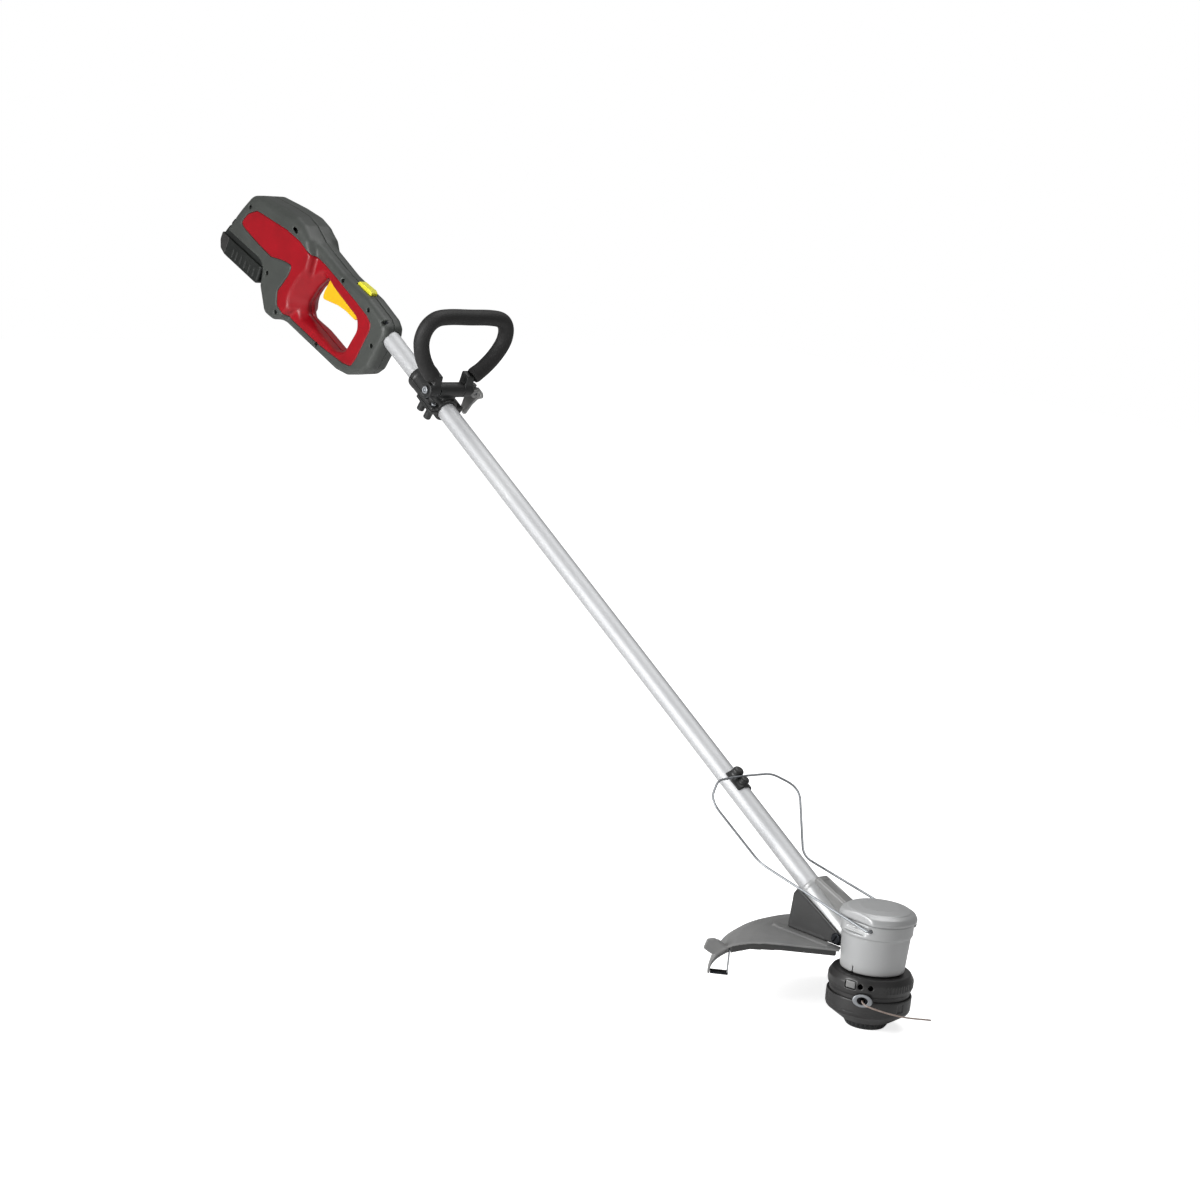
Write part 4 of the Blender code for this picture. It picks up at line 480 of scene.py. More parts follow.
def moulding(name, field, low, cell, matrix=Matrix()):
    """The closed surface on which a field of distances is zero, as one smooth mesh of small quads."""
    field = np.asarray(field, np.float32)
    field = np.pad(field, 1, constant_values=1.0)
    low = Vector(low) - Vector((cell, cell, cell))
    inside = field < 0
    rooms = np.array(field.shape) - 1
    steps = (rooms[1] * rooms[2], rooms[2], 1)
    owners, spots, quads = [], [], []
    for axis in range(3):
        b, c = steps[(axis + 1) % 3], steps[(axis + 2) % 3]
        edges = np.argwhere(np.diff(inside.view(np.int8), axis=axis))
        ahead = edges.copy()
        ahead[:, axis] += 1
        one, two = field[tuple(edges.T)], field[tuple(ahead.T)]
        spot = edges.astype(np.float64)
        spot[:, axis] += one / (one - two)
        home = edges @ np.array(steps)
        ring = np.stack([home, home - b, home - b - c, home - c], axis=1)
        outward = one < 0
        quads.append(np.where(outward[:, None], ring, ring[:, ::-1]))
        owners.append(ring.ravel())
        spots.append(np.repeat(spot, 4, axis=0))
    used, number = np.unique(np.concatenate(owners), return_inverse=True)
    counts = np.bincount(number)
    spots = np.concatenate(spots)
    points = np.stack([np.bincount(number, spots[:, k]) / counts for k in range(3)], axis=1)
    quads = np.searchsorted(used, np.concatenate(quads))
    # Each point then goes halfway to the middle of its neighbours.
    total = np.zeros_like(points)
    for k in range(4):
        np.add.at(total, quads[:, k], points[quads[:, (k + 1) % 4]] + points[quads[:, k - 1]])
    shared = np.bincount(quads.ravel())[:, None] * 2
    points = points * 0.5 + total / shared * 0.5
    mesh = bpy.data.meshes.new(name)
    mesh.vertices.add(len(points))
    mesh.vertices.foreach_set("co", (points * cell + np.array(low)).astype(np.float32).ravel())
    mesh.loops.add(quads.size)
    mesh.loops.foreach_set("vertex_index", quads.astype(np.int32).ravel())
    mesh.polygons.add(len(quads))
    mesh.polygons.foreach_set("loop_start", np.arange(0, quads.size, 4, dtype=np.int32))
    mesh.update(calc_edges=True)
    mesh.validate()
    mesh.transform(matrix)
    mesh.shade_smooth()
    made = bpy.data.objects.new(name, mesh)
    bpy.context.scene.collection.objects.link(made)
    return made


def battery_axes(s, y, u):
    """Coordinates in the battery's frame, which is tilted on the shaft's."""
    ds, du = s - BATTERY_PLACE[0], u - BATTERY_PLACE[1]
    cosine, sine = math.cos(BATTERY_TILT), math.sin(BATTERY_TILT)
    return ds * cosine - du * sine, y, ds * sine + du * cosine


def hand_bowl(s, y, opening):
    """The opening for the hand, which flares into a bowl at its rear, where the heel of the hand lies."""
    rear = np.clip((s - 1.318) / 0.036, 0, 1)
    return opening - BOWL_DEPTH * rear * np.clip((np.abs(y) - 0.006) / 0.025, 0, 1.2)


def housing_form(s, y, u, opening):
    """The outside of the whole rear housing, before its bowl is sunk."""
    loop = np.maximum(from_outline(rounded_outline(LOOP_OUTLINE, 0.012), s, u), -opening)
    body_edge = from_outline(rounded_outline(BODY_OUTLINE, 0.014), s, u)
    crown = SIDE_CROWN * np.clip(1 + body_edge / 0.04, 0, 1) ** 2
    # The body's front edge, behind the hand, is sharper than the rest of it.
    rounding = FRONT_ROUNDING + (BODY_ROUNDING - FRONT_ROUNDING) * np.clip((s - 1.385) / 0.030, 0, 1)
    return either_form(both(loop, np.abs(y) - LOOP_HALF_WIDTH, LOOP_ROUNDING),
                       both(body_edge, np.abs(y) - BODY_HALF_WIDTH + crown, rounding), BODY_BLEND)


def rear_housing(side):
    """One grey shell and its red cover: side is 1 for the operator's right and -1 for the left."""
    low = (1.180, -0.0035, -0.146) if side > 0 else (1.180, -0.0350, -0.146)
    high = (1.580, 0.0350, 0.034) if side > 0 else (1.580, 0.0035, 0.034)
    s, y, u = space(low, high, HOUSING_CELL)
    opening = from_outline(rounded_outline(HAND_OPENING, 0.014), s, u)
    bowl = hand_bowl(s, y, opening)
    form = without(housing_form(s, y, u, opening), bowl, 0.0040)
    bx, by, bz = battery_axes(s, y, u)
    hollow = np.maximum(form + HOUSING_WALL, BOWL_WALL - bowl)
    for place_s, place_u in HOUSING_SCREWS:
        hollow = np.maximum(hollow, SCREW_WELL_RADIUS + 0.0016 - np.hypot(s - place_s, u - place_u))
    hollow = np.maximum(hollow, -block(bx, by, bz, (-0.0135, -0.04, BAY_CEILING),
                                       (0.130, 0.04, BAY_CEILING + 0.002)))
    hollow = np.maximum(hollow, -block(bx, by, bz, (-0.0135, -0.04, -0.03),
                                       (-0.011, 0.04, BAY_CEILING + 0.001)))
    shell = np.maximum(form, -hollow)
    shell = without(shell, bar(s, y, u, (1.15, 0, 0), (TUBE_REAR + 0.001, 0, 0), TUBE_RADIUS + SEAM))
    shell = without(shell, block(bx, by, bz, (-0.0109, -BATTERY_RAIL, 0.004),
                                 (0.16, BATTERY_RAIL, BAY_CEILING)))
    shell = without(shell, block(bx, by, bz, (-0.0005, -0.05, -0.03),
                                 (0.16, 0.05, BATTERY_SHOWN + 0.0005)), 0.0014)
    wide = TRIGGER_HALF_WIDTH + SLOT_GAP
    shell = without(shell, block(s, y, u, (TRIGGER_PIVOT[0] - 0.0055, -wide, -0.060),
                                 (TRIGGER_PIVOT[0] + 0.0905, wide, 0.0045)))
    wide = BUTTON_HALF_WIDTH + SLOT_GAP
    shell = without(shell, block(s, y, u, (BUTTON_FRONT - SLOT_GAP, -wide, 0.006),
                                 (BUTTON_FRONT + BUTTON_LENGTH + SLOT_GAP, wide, 0.040)))
    wells = np.full(np.broadcast(s, u).shape, 1.0, np.float32)
    for place_s, place_u in HOUSING_SCREWS:
        wells = np.minimum(wells, np.hypot(s - place_s, u - place_u) - SCREW_WELL_RADIUS)
    first_s, first_u = HOUSING_SCREWS[0]
    oblong = np.hypot(np.maximum(np.abs(s - first_s) - 0.0035, 0), u - first_u) - 0.0028
    wells = np.minimum(wells, oblong)
    if side > 0:
        shell = without(shell, np.maximum(wells, SCREW_SEAT - y))
    shell = np.maximum(shell, PARTING - side * y)
    cover = from_outline(rounded_outline(COVER_OUTLINE, 0.008), s, u)
    word = "right" if side > 0 else "left"
    # The seam is open at the surface and closed a millimetre down, so nothing shows through it.
    gap = SEAM - (SEAM + 0.0002) * np.clip(-form / 0.0010 - 0.6, 0, 1)
    grey = moulding("housing_shell_" + word, both(shell, gap - cover, 0.0008), low, HOUSING_CELL, SHAFT)
    finished(grey, GREY_NYLON, "grey_glass_filled_nylon", "trimmer", "housing_" + word)
    red = both(np.maximum(shell, form + COVER_SINK), cover + gap, 0.0008)
    red = moulding("red_cover_" + word, red, low, HOUSING_CELL, SHAFT)
    finished(red, RED_ABS, "red_gloss_abs", "trimmer", "grip_cover_" + word)


def moulded_plastic(name, dark, light, rough, grain, pale_edge_colour, ior=1.5, depth=0.00018):
    """Moulded plastic: a spark-eroded grain of that size in metres, faint cloudy flow and pale edges."""
    made, tree, shader, place = new_finish(name)
    flow = node(tree, "ShaderNodeTexNoise", {"Vector": place, "Scale": 26.0, "Detail": 5.0,
                                             "Roughness": 0.6})
    colour = tones(tree, flow.outputs["Fac"], dark, light, 0.3, 0.7)
    # Sharp convex edges, found by pointiness, are mixed up to 55 % towards a paler edge colour.
    edge = node(tree, "ShaderNodeNewGeometry")
    rim = node(tree, "ShaderNodeMapRange", {"Value": edge.outputs["Pointiness"], "From Min": 0.53,
                                            "From Max": 0.62, "To Max": 0.55})
    mixed = node(tree, "ShaderNodeMix", {0: rim.outputs["Result"], 6: colour, 7: tint(pale_edge_colour)},
                 data_type="RGBA")
    sparks = noise(tree, place, 1.0 / grain)
    feed(tree, shader, {"Base Color": mixed.outputs[2],
                        "Roughness": spread(tree, sparks, rough - 0.05, rough + 0.07),
                        "Normal": relief(tree, sparks, 0.35, depth), "IOR": ior})
    return made


GREY_NYLON = moulded_plastic("moulded_grey_glass_filled_nylon", "#363936", "#3f423f", 0.48, 0.0016,
                             "#646864", 1.50)
RED_ABS = moulded_plastic("moulded_red_gloss_abs", "#86000f", "#960214", 0.34, 0.0025, "#b82a3c", 1.40,
                          0.00005)
rear_housing(1)
rear_housing(-1)


# Housing screws. Nine black thread-forming screws, 3 mm heads, driven from the operator's right to
# the bottom of moulded wells. One cross-recess head on a tapered shank is made once and instanced.
# GAP is the clearance that the CAD leaves between pieces that touch; the later sections use it too.
SCREW_HEAD_RADIUS = 0.0029
SCREW_HEAD_HEIGHT = 0.0022
SCREW_SHANK_RADIUS = 0.0017
SCREW_SHANK_LENGTH = 0.0160
SCREW_CELL = 0.0003
CROSS_WIDTH = 0.0006
GAP = 0.0003


def black_oxide():
    """Black-oxide steel: near black, with a blue-grey bloom in soft clouds."""
    made, tree, shader, place = new_finish("black_oxide_steel")
    cloud = noise(tree, place, 420.0, 3.0)
    feed(tree, shader, {"Base Color": tones(tree, cloud, "#17181a", "#303338"),
                        "Roughness": spread(tree, cloud, 0.30, 0.50), "Metallic": 0.8})
    return made


def copied_onto(name, points, shape, finish, turn=(0.0, 0.0, 0.0)):
    """One mesh with a copy of a shape at each point, made by a node tree and then plain."""
    holder = mesh_object(name, points, [])
    tree = bpy.data.node_groups.new(name + "_copies", "GeometryNodeTree")
    tree.interface.new_socket("Points", in_out="INPUT", socket_type="NodeSocketGeometry")
    size = tree.interface.new_socket("Size", in_out="INPUT", socket_type="NodeSocketFloat")
    tree.interface.new_socket("Copies", in_out="OUTPUT", socket_type="NodeSocketGeometry")
    given = node(tree, "NodeGroupInput")
    source = node(tree, "GeometryNodeObjectInfo", {"Object": shape})
    copies = node(tree, "GeometryNodeInstanceOnPoints",
                  {"Points": given.outputs["Points"], "Instance": source.outputs["Geometry"],
                   "Rotation": turn, "Scale": given.outputs["Size"]})
    whole = node(tree, "GeometryNodeRealizeInstances", {"Geometry": copies.outputs["Instances"]})
    coated = node(tree, "GeometryNodeSetMaterial",
                  {"Geometry": whole.outputs["Geometry"], "Material": finish})
    node(tree, "NodeGroupOutput", {"Copies": coated.outputs["Geometry"]})
    modifier = holder.modifiers.new(name, "NODES")
    modifier.node_group = tree
    modifier[size.identifier] = 1.0
    graph = bpy.context.evaluated_depsgraph_get()
    mesh = bpy.data.meshes.new_from_object(holder.evaluated_get(graph))
    holder.modifiers.clear()
    holder.data = mesh
    bpy.data.objects.remove(shape, do_unlink=True)
    return holder


def screw(head_radius, head_height, shank_radius, shank_length):
    """A screw pointing down, its head on top with a cross recess."""
    field_low = (-head_radius - 0.001, -head_radius - 0.001, -shank_length - 0.001)
    x, y, z = space(field_low, (head_radius + 0.001, head_radius + 0.001, head_height + 0.001), SCREW_CELL)
    head = both(np.hypot(x, y) - head_radius, np.abs(z - head_height / 2) - head_height / 2, 0.0008)
    shank = bar(x, y, z, (0, 0, -shank_length), (0, 0, 0.0004), shank_radius * 0.7, 0.0003, shank_radius)
    cross = np.minimum(block(x, y, z, (-head_radius * 0.62, -CROSS_WIDTH, head_height * 0.35),
                             (head_radius * 0.62, CROSS_WIDTH, 1)),
                       block(x, y, z, (-CROSS_WIDTH, -head_radius * 0.62, head_height * 0.35),
                             (CROSS_WIDTH, head_radius * 0.62, 1)))
    return moulding("screw", without(np.minimum(head, shank), cross), field_low, SCREW_CELL)


BLACK_OXIDE = black_oxide()
seats = [SHAFT @ Vector((s, SCREW_SEAT + GAP, u)) for s, u in HOUSING_SCREWS]
screws = copied_onto("housing_screws", seats, screw(SCREW_HEAD_RADIUS, SCREW_HEAD_HEIGHT,
                                                    SCREW_SHANK_RADIUS, SCREW_SHANK_LENGTH), BLACK_OXIDE,
                     (math.pi / 2, 0.0, 0.0))
finished(screws, BLACK_OXIDE, "black_oxide_steel", "trimmer",
         *["housing_screw_%d" % number for number in range(1, 10)])


# Trigger and lock button. The trigger is a yellow acetal blade on pins in the shells, with a ribbed
# finger edge. The lock button is a lime acetal wedge with cross ribs for the thumb. The cells say how
# fine the fields of this and the later pieces are.
TRIGGER_EDGE = [(-0.0035, 0.0035), (-0.004, -0.006), (0.0045, -0.019), (0.030, -0.0222), (0.049, -0.0275),
                (0.083, -0.042), (0.086, -0.030), (0.085, 0.0), (0.080, 0.0035)]
TRIGGER_RIB_PITCH = 0.0045
BUTTON_RIB_PITCH = 0.0042
BUTTON_TOP = 0.0285
FINE_CELL = 0.0004
SMALL_CELL = 0.0005
MIDDLE_CELL = 0.0007
PIECE_CELL = 0.0008

YELLOW_ACETAL = moulded_plastic("moulded_yellow_acetal", "#dda80a", "#e8b916", 0.36, 0.0012, "#f6d050",
                                1.47, 0.00006)
LIME_ACETAL = moulded_plastic("moulded_lime_acetal", "#d6d02e", "#e2dc3a", 0.36, 0.0012, "#eef07a", 1.48,
                              0.00006)


def trigger():
    """The blade with its finger ribs, on one pin across both shells."""
    low = (TRIGGER_PIVOT[0] - 0.006, -0.0140, -0.053)
    s, y, u = space(low, (TRIGGER_PIVOT[0] + 0.088, 0.0145, -0.002), MIDDLE_CELL)
    edge = from_outline(rounded_outline([(TRIGGER_PIVOT[0] + ds, TRIGGER_PIVOT[1] + du)
                                         for ds, du in TRIGGER_EDGE], 0.005), s, u)
    ribs = 0.00045 * np.clip(np.cos(2 * math.pi * s / TRIGGER_RIB_PITCH), 0, 1) * (u < -0.018) * (s < 1.335)
    blade = both(edge + ribs, np.abs(y) - TRIGGER_HALF_WIDTH, 0.0020)
    px, pz = TRIGGER_PIVOT
    pin = bar(s, y, u, (px, -0.0122, pz), (px, 0.0122, pz), 0.0025)
    made = moulding("trigger_blade", either_form(blade, pin, 0.001), low, MIDDLE_CELL, SHAFT)
    finished(made, YELLOW_ACETAL, "yellow_acetal", "trigger", "trigger")


def lock_button():
    """The cap that the thumb presses, and the flange that keeps it in the shells."""
    rear = BUTTON_FRONT + BUTTON_LENGTH
    low = (BUTTON_FRONT - 0.004, -0.011, 0.006)
    s, y, u = space(low, (rear + 0.004, 0.011, 0.031), SMALL_CELL)
    outline = [(BUTTON_FRONT, 0.0085), (rear, 0.0085), (rear, BUTTON_TOP - 0.0075),
               (rear - 0.003, BUTTON_TOP - 0.0050), (BUTTON_FRONT + 0.005, BUTTON_TOP),
               (BUTTON_FRONT, BUTTON_TOP - 0.0020)]
    edge = from_outline(rounded_outline(outline, 0.002), s, u)
    waves = np.clip(np.cos(2 * math.pi * s / BUTTON_RIB_PITCH), 0, 1)
    ribs = 0.0005 * waves * (u > 0.017) * (np.abs(y) < 0.0045)
    cap = both(edge + ribs, np.abs(y) - BUTTON_HALF_WIDTH, 0.0012)
    flange = block(s, y, u, (BUTTON_FRONT - 0.002, -0.0085, 0.0080), (rear + 0.002, 0.0085, 0.0100), 0.0004)
    made = moulding("lock_button_cap", np.minimum(cap, flange), low, SMALL_CELL, SHAFT)
    finished(made, LIME_ACETAL, "lime_acetal", "lock_button", "lock_button")


trigger()
lock_button()


# Battery pack. A black ABS tray with a separate end cap carries the cells, and its narrow upper case
# runs on rails in the shells. A ribbed latch at the rear lets it out.
BATTERY_LENGTH = 0.112
BATTERY_HALF_WIDTH = 0.031
BATTERY_HEIGHT = 0.058
BATTERY_CELL = 0.0011
CAP_START = 0.0900
CASE_FRONT = 0.0028
CASE_SLANT = 0.0150
CASE_SKIRT = 0.0250
LATCH_LOW = 0.0135
LATCH_HIGH = 0.0225
LATCH_HALF_WIDTH = 0.0120
LATCH_GAP = 0.0006
CONTACT_PITCH = 0.010

BATTERY = SHAFT @ Matrix.Translation((BATTERY_PLACE[0], 0, BATTERY_PLACE[1])) \
    @ Matrix.Rotation(BATTERY_TILT, 4, "Y")
BATTERY_BLACK = moulded_plastic("moulded_black_abs", "#0f1210", "#181b19", 0.52, 0.0014, "#3a3f3b", 1.42)
CAP_BLACK = moulded_plastic("moulded_charcoal_abs", "#232222", "#2b2a29", 0.50, 0.0014, "#504e4c", 1.50)


def battery():
    """The tray and its end cap, the upper case on its rails, and the latch in the tray's rear."""
    low = (-0.003, -0.034, -0.003)
    x, y, z = space(low, (0.116, 0.035, 0.032), BATTERY_CELL)
    rim = BATTERY_SHOWN + 0.006
    edge = from_outline(rounded_outline([(0, 0.004), (0.004, 0), (BATTERY_LENGTH - 0.020, 0),
                                         (BATTERY_LENGTH - 0.007, 0.004), (BATTERY_LENGTH, 0.016),
                                         (BATTERY_LENGTH, rim), (0, rim)], 0.004), x, z)
    tray = both(edge, np.abs(y) - BATTERY_HALF_WIDTH, 0.0040)
    grooves = np.abs((x - 0.018) % 0.012 - 0.006) - 0.0022
    sunk = np.maximum(np.maximum(grooves, np.abs(x - 0.042) - 0.030), np.abs(z - 0.0125) - 0.0065)
    tray = without(tray, np.maximum(sunk, BATTERY_HALF_WIDTH - 0.0012 - np.abs(y)), 0.0006)
    tray = without(tray, np.maximum(np.maximum(edge + 0.0025, np.abs(y) - BATTERY_RAIL + 0.0002),
                                    0.006 - z))
    tray = np.maximum(tray, z - BATTERY_SHOWN)
    room = block(x, y, z, (BATTERY_LENGTH - 0.010, -LATCH_HALF_WIDTH - LATCH_GAP, LATCH_LOW - LATCH_GAP),
                 (BATTERY_LENGTH + 0.01, LATCH_HALF_WIDTH + LATCH_GAP, LATCH_HIGH + LATCH_GAP))
    tray = without(tray, room)
    front = moulding("battery_tray", np.maximum(tray, x - CAP_START + GAP), low, BATTERY_CELL, BATTERY)
    finished(front, BATTERY_BLACK, "black_nylon", "battery", "battery_case_lower")
    rear = moulding("battery_end_cap", np.maximum(tray, CAP_START + GAP - x), low, BATTERY_CELL, BATTERY)
    finished(rear, CAP_BLACK, "black_nylon", "battery", "battery_case_lower")
    low = (0.0, -0.030, 0.020)
    x, y, z = space(low, (0.113, 0.031, 0.061), BATTERY_CELL)
    rail = BATTERY_RAIL - 0.0005
    rear = BATTERY_LENGTH - 0.0028
    edge = from_outline(rounded_outline([(CASE_FRONT, CASE_SKIRT), (rear, CASE_SKIRT),
                                         (rear, BATTERY_SHOWN + 0.001),
                                         (BATTERY_LENGTH - CASE_SLANT, BATTERY_HEIGHT),
                                         (CASE_FRONT, BATTERY_HEIGHT)], 0.002), x, z)
    case = both(edge, np.abs(y) - rail, 0.0015)
    groove = both(np.abs(np.abs(y) - rail) - 0.0022, np.abs(z - 0.0455) - 0.0020)
    case = without(case, groove)
    hollow = both(edge + 0.002, np.abs(y) - rail + 0.0045)
    slant = (CASE_SLANT - 0.0028) / (BATTERY_HEIGHT - BATTERY_SHOWN - 0.001)
    wall = x - rear + slant * np.maximum(z - BATTERY_SHOWN - 0.001, 0) + 0.0022
    lower = block(x, y, z, (CASE_FRONT + 0.002, -rail + 0.002, 0.01), (rear, rail - 0.002, 0.0415))
    case = without(case, np.minimum(hollow, np.maximum(lower, wall)))
    for n in (-1, 0, 1):
        case = without(case, block(x, y, z, (-0.01, n * CONTACT_PITCH - 0.0013, 0.037),
                                   (CASE_FRONT + 0.004, n * CONTACT_PITCH + 0.0013, 0.051)))
    upper = moulding("battery_upper_case", case, low, BATTERY_CELL, BATTERY)
    finished(upper, BATTERY_BLACK, "black_nylon", "battery", "battery_case_upper")
    low = (0.100, -0.017, 0.008)
    x, y, z = space(low, (0.119, 0.017, 0.028), SMALL_CELL)
    face = block(x, y, z, (BATTERY_LENGTH - 0.006, -LATCH_HALF_WIDTH, LATCH_LOW),
                 (BATTERY_LENGTH + 0.004, LATCH_HALF_WIDTH, LATCH_HIGH), 0.0012)
    ribs = np.abs(repeated(y, 0.0024)) - 0.0005
    ribs = np.maximum(np.maximum(ribs, np.abs(y) - 0.0095), BATTERY_LENGTH + 0.0034 - x)
    flange = block(x, y, z, (BATTERY_LENGTH - 0.0085, -LATCH_HALF_WIDTH - 0.003, LATCH_LOW - 0.002),
                   (BATTERY_LENGTH - 0.0045, LATCH_HALF_WIDTH + 0.003, LATCH_HIGH + 0.0015), 0.0004)
    latch = moulding("battery_latch_button", np.minimum(without(face, ribs), flange), low, SMALL_CELL,
                     BATTERY)
    finished(latch, CAP_BLACK, "black_nylon", "battery_latch", "battery_latch")


battery()


# Loop handle. A closed-cell foam grip is pulled over a bent nylon core, and the core's two feet are
# moulded arms with a knuckle each. The knuckles turn on the barrel of the clamp, on one through bolt.
HANDLE_PIVOT = Vector((1.049, 0, 0.026))
LOOP_LEAN = 0.26
LOOP_SHAPE = [(0.0290, 0.0395), (0.0380, 0.0472), (0.0515, 0.0590), (0.0650, 0.0765), (0.0735, 0.0970),
              (0.0710, 0.1160), (0.0585, 0.1280), (0.0360, 0.1315), (0.0, 0.1315)]
GRIP_RADIUS = 0.0110
CORE_RADIUS = 0.0060
KNUCKLE_RADIUS = 0.0105
KNUCKLE_START = 0.0218
KNUCKLE_LENGTHS = {1: 0.0185, -1: 0.0140}
ARM_WIDTH = 0.0135
ARM_HEIGHT = 0.0235
BOLT_RADIUS = 0.0040
BOLT_HEAD_RADIUS = 0.0056


def foam_rubber():
    """Black foam rubber: nearly black and dull, with the fine open skin that swallows highlights."""
    made, tree, shader, place = new_finish("black_foam_rubber")
    cells = node(tree, "ShaderNodeTexVoronoi", {"Vector": place, "Scale": 1500.0})
    feed(tree, shader, {"Base Color": tones(tree, noise(tree, place, 38.0, 3.0), "#121212", "#1d1c1c"),
                        "Normal": relief(tree, cells.outputs["Distance"], 0.5, 0.00025),
                        "Roughness": 0.62, "IOR": 1.45})
    return made


def zinc_steel():
    """Zinc-plated steel, dull from the barrel it is plated in: mid grey and faintly clouded."""
    made, tree, shader, place = new_finish("zinc_plated_steel")
    cloud = noise(tree, place, 120.0, 4.0)
    feed(tree, shader, {"Base Color": tones(tree, cloud, "#84878b", "#a9acaf"),
                        "Roughness": spread(tree, cloud, 0.42, 0.60), "Metallic": 1.0})
    return made


def loop_route(cut_off):
    """The loop's centre line in the shaft's frame, less a bit of both its ends."""
    half = [Vector((HANDLE_PIVOT.x + (u - HANDLE_PIVOT.z) * LOOP_LEAN, y, u)) for y, u in LOOP_SHAPE]
    whole = smooth_route(half + [Vector((p.x, -p.y, p.z)) for p in reversed(half[:-1])], 0.0030)
    return whole[cut_off:len(whole) - cut_off]


def grip_radius(share):
    """The grip swells a little over its first and last centimetre, where the foam is bunched up."""
    end = min(share, 1 - share)
    if end < 0.004:
        return GRIP_RADIUS * 0.93
    return GRIP_RADIUS * (1.0 + 0.035 * math.exp(-((end - 0.018) / 0.016) ** 2))


def loop_core(side):
    """One foot of the core: the arm that rises from the knuckle and the end of the bent rod in the foam."""
    low = (1.030, 0.0, 0.010) if side > 0 else (1.030, -0.052, 0.010)
    s, y, u = space(low, (1.082, low[1] + 0.052, 0.068), PIECE_CELL)
    start = KNUCKLE_START
    end = start + KNUCKLE_LENGTHS[side]
    px, pz = HANDLE_PIVOT.x, HANDLE_PIVOT.z
    knuckle = bar(s, y, u, (px, side * start, pz), (px, side * end, pz), KNUCKLE_RADIUS, 0.0010)
    outline = [(px - 0.0095, pz), (px + 0.0095, pz), (px + 0.0150, pz + ARM_HEIGHT),
               (px - 0.0010, pz + ARM_HEIGHT)]
    edge = from_outline(rounded_outline(outline, 0.003), s, u)
    arm = both(edge, np.abs(side * y - start - ARM_WIDTH / 2) - ARM_WIDTH / 2, 0.0018)
    route = loop_route(0)
    nearest = [p for p in route if p.y * side > 0 and p.z < 0.056]
    rod = np.minimum.reduce([np.sqrt((s - p.x) ** 2 + (y - p.y) ** 2 + (u - p.z) ** 2) for p in nearest])
    form = either_form(either_form(knuckle, arm, 0.003), rod - CORE_RADIUS, 0.0015)
    form = without(form, np.hypot(s - px, u - pz) - BOLT_RADIUS - GAP)
    made = moulding("loop_foot", form, low, PIECE_CELL, SHAFT)
    finished(made, BLACK_NYLON, "black_nylon", "loop_handle", "loop_core")


BLACK_NYLON = moulded_plastic("moulded_black_nylon", "#161717", "#202121", 0.42, 0.0012, "#404141", 1.50)
FOAM = foam_rubber()
ZINC_STEEL = zinc_steel()
loop_core(1)
loop_core(-1)
middle = swept("loop_core_rod", loop_route(5), lambda share: CORE_RADIUS - 0.0002, 20)
finished(placed(middle, SHAFT), BLACK_NYLON, "black_nylon", "loop_handle", "loop_core")
foam = swept("foam_grip", loop_route(3), grip_radius, 40)
finished(placed(foam, SHAFT), FOAM, "black_foam_rubber", "loop_handle", "loop_grip")


# Handle clamp. Two moulded halves grip the tube, drawn together by two screws through their flanges,
# and the upper half carries the barrel for the loop. A cam lever on the left tightens the through bolt.
CLAMP_FRONT = 1.034
CLAMP_LENGTH = 0.076
CLAMP_RADIUS = 0.0175
CLAMP_CELL = 0.0008
FLANGE_Y = 0.0225
FLANGE_HALF_WIDTH = 0.0282
FLANGE_LENGTH = 0.038
FLANGE_THICKNESS = 0.0052
FOOT_RADIUS = 0.0055
FOOT_LENGTH = 0.0175
CLAMP_SCREWS = [CLAMP_FRONT + 0.0065, CLAMP_FRONT + 0.0245]
BARREL_HALF_LENGTH = 0.0215
LEVER_FACE = BARREL_HALF_LENGTH + 0.0146
LEVER_PIN = 0.0434
LEVER_HUB_RADIUS = 0.0070
LEVER_CELL = 0.0006


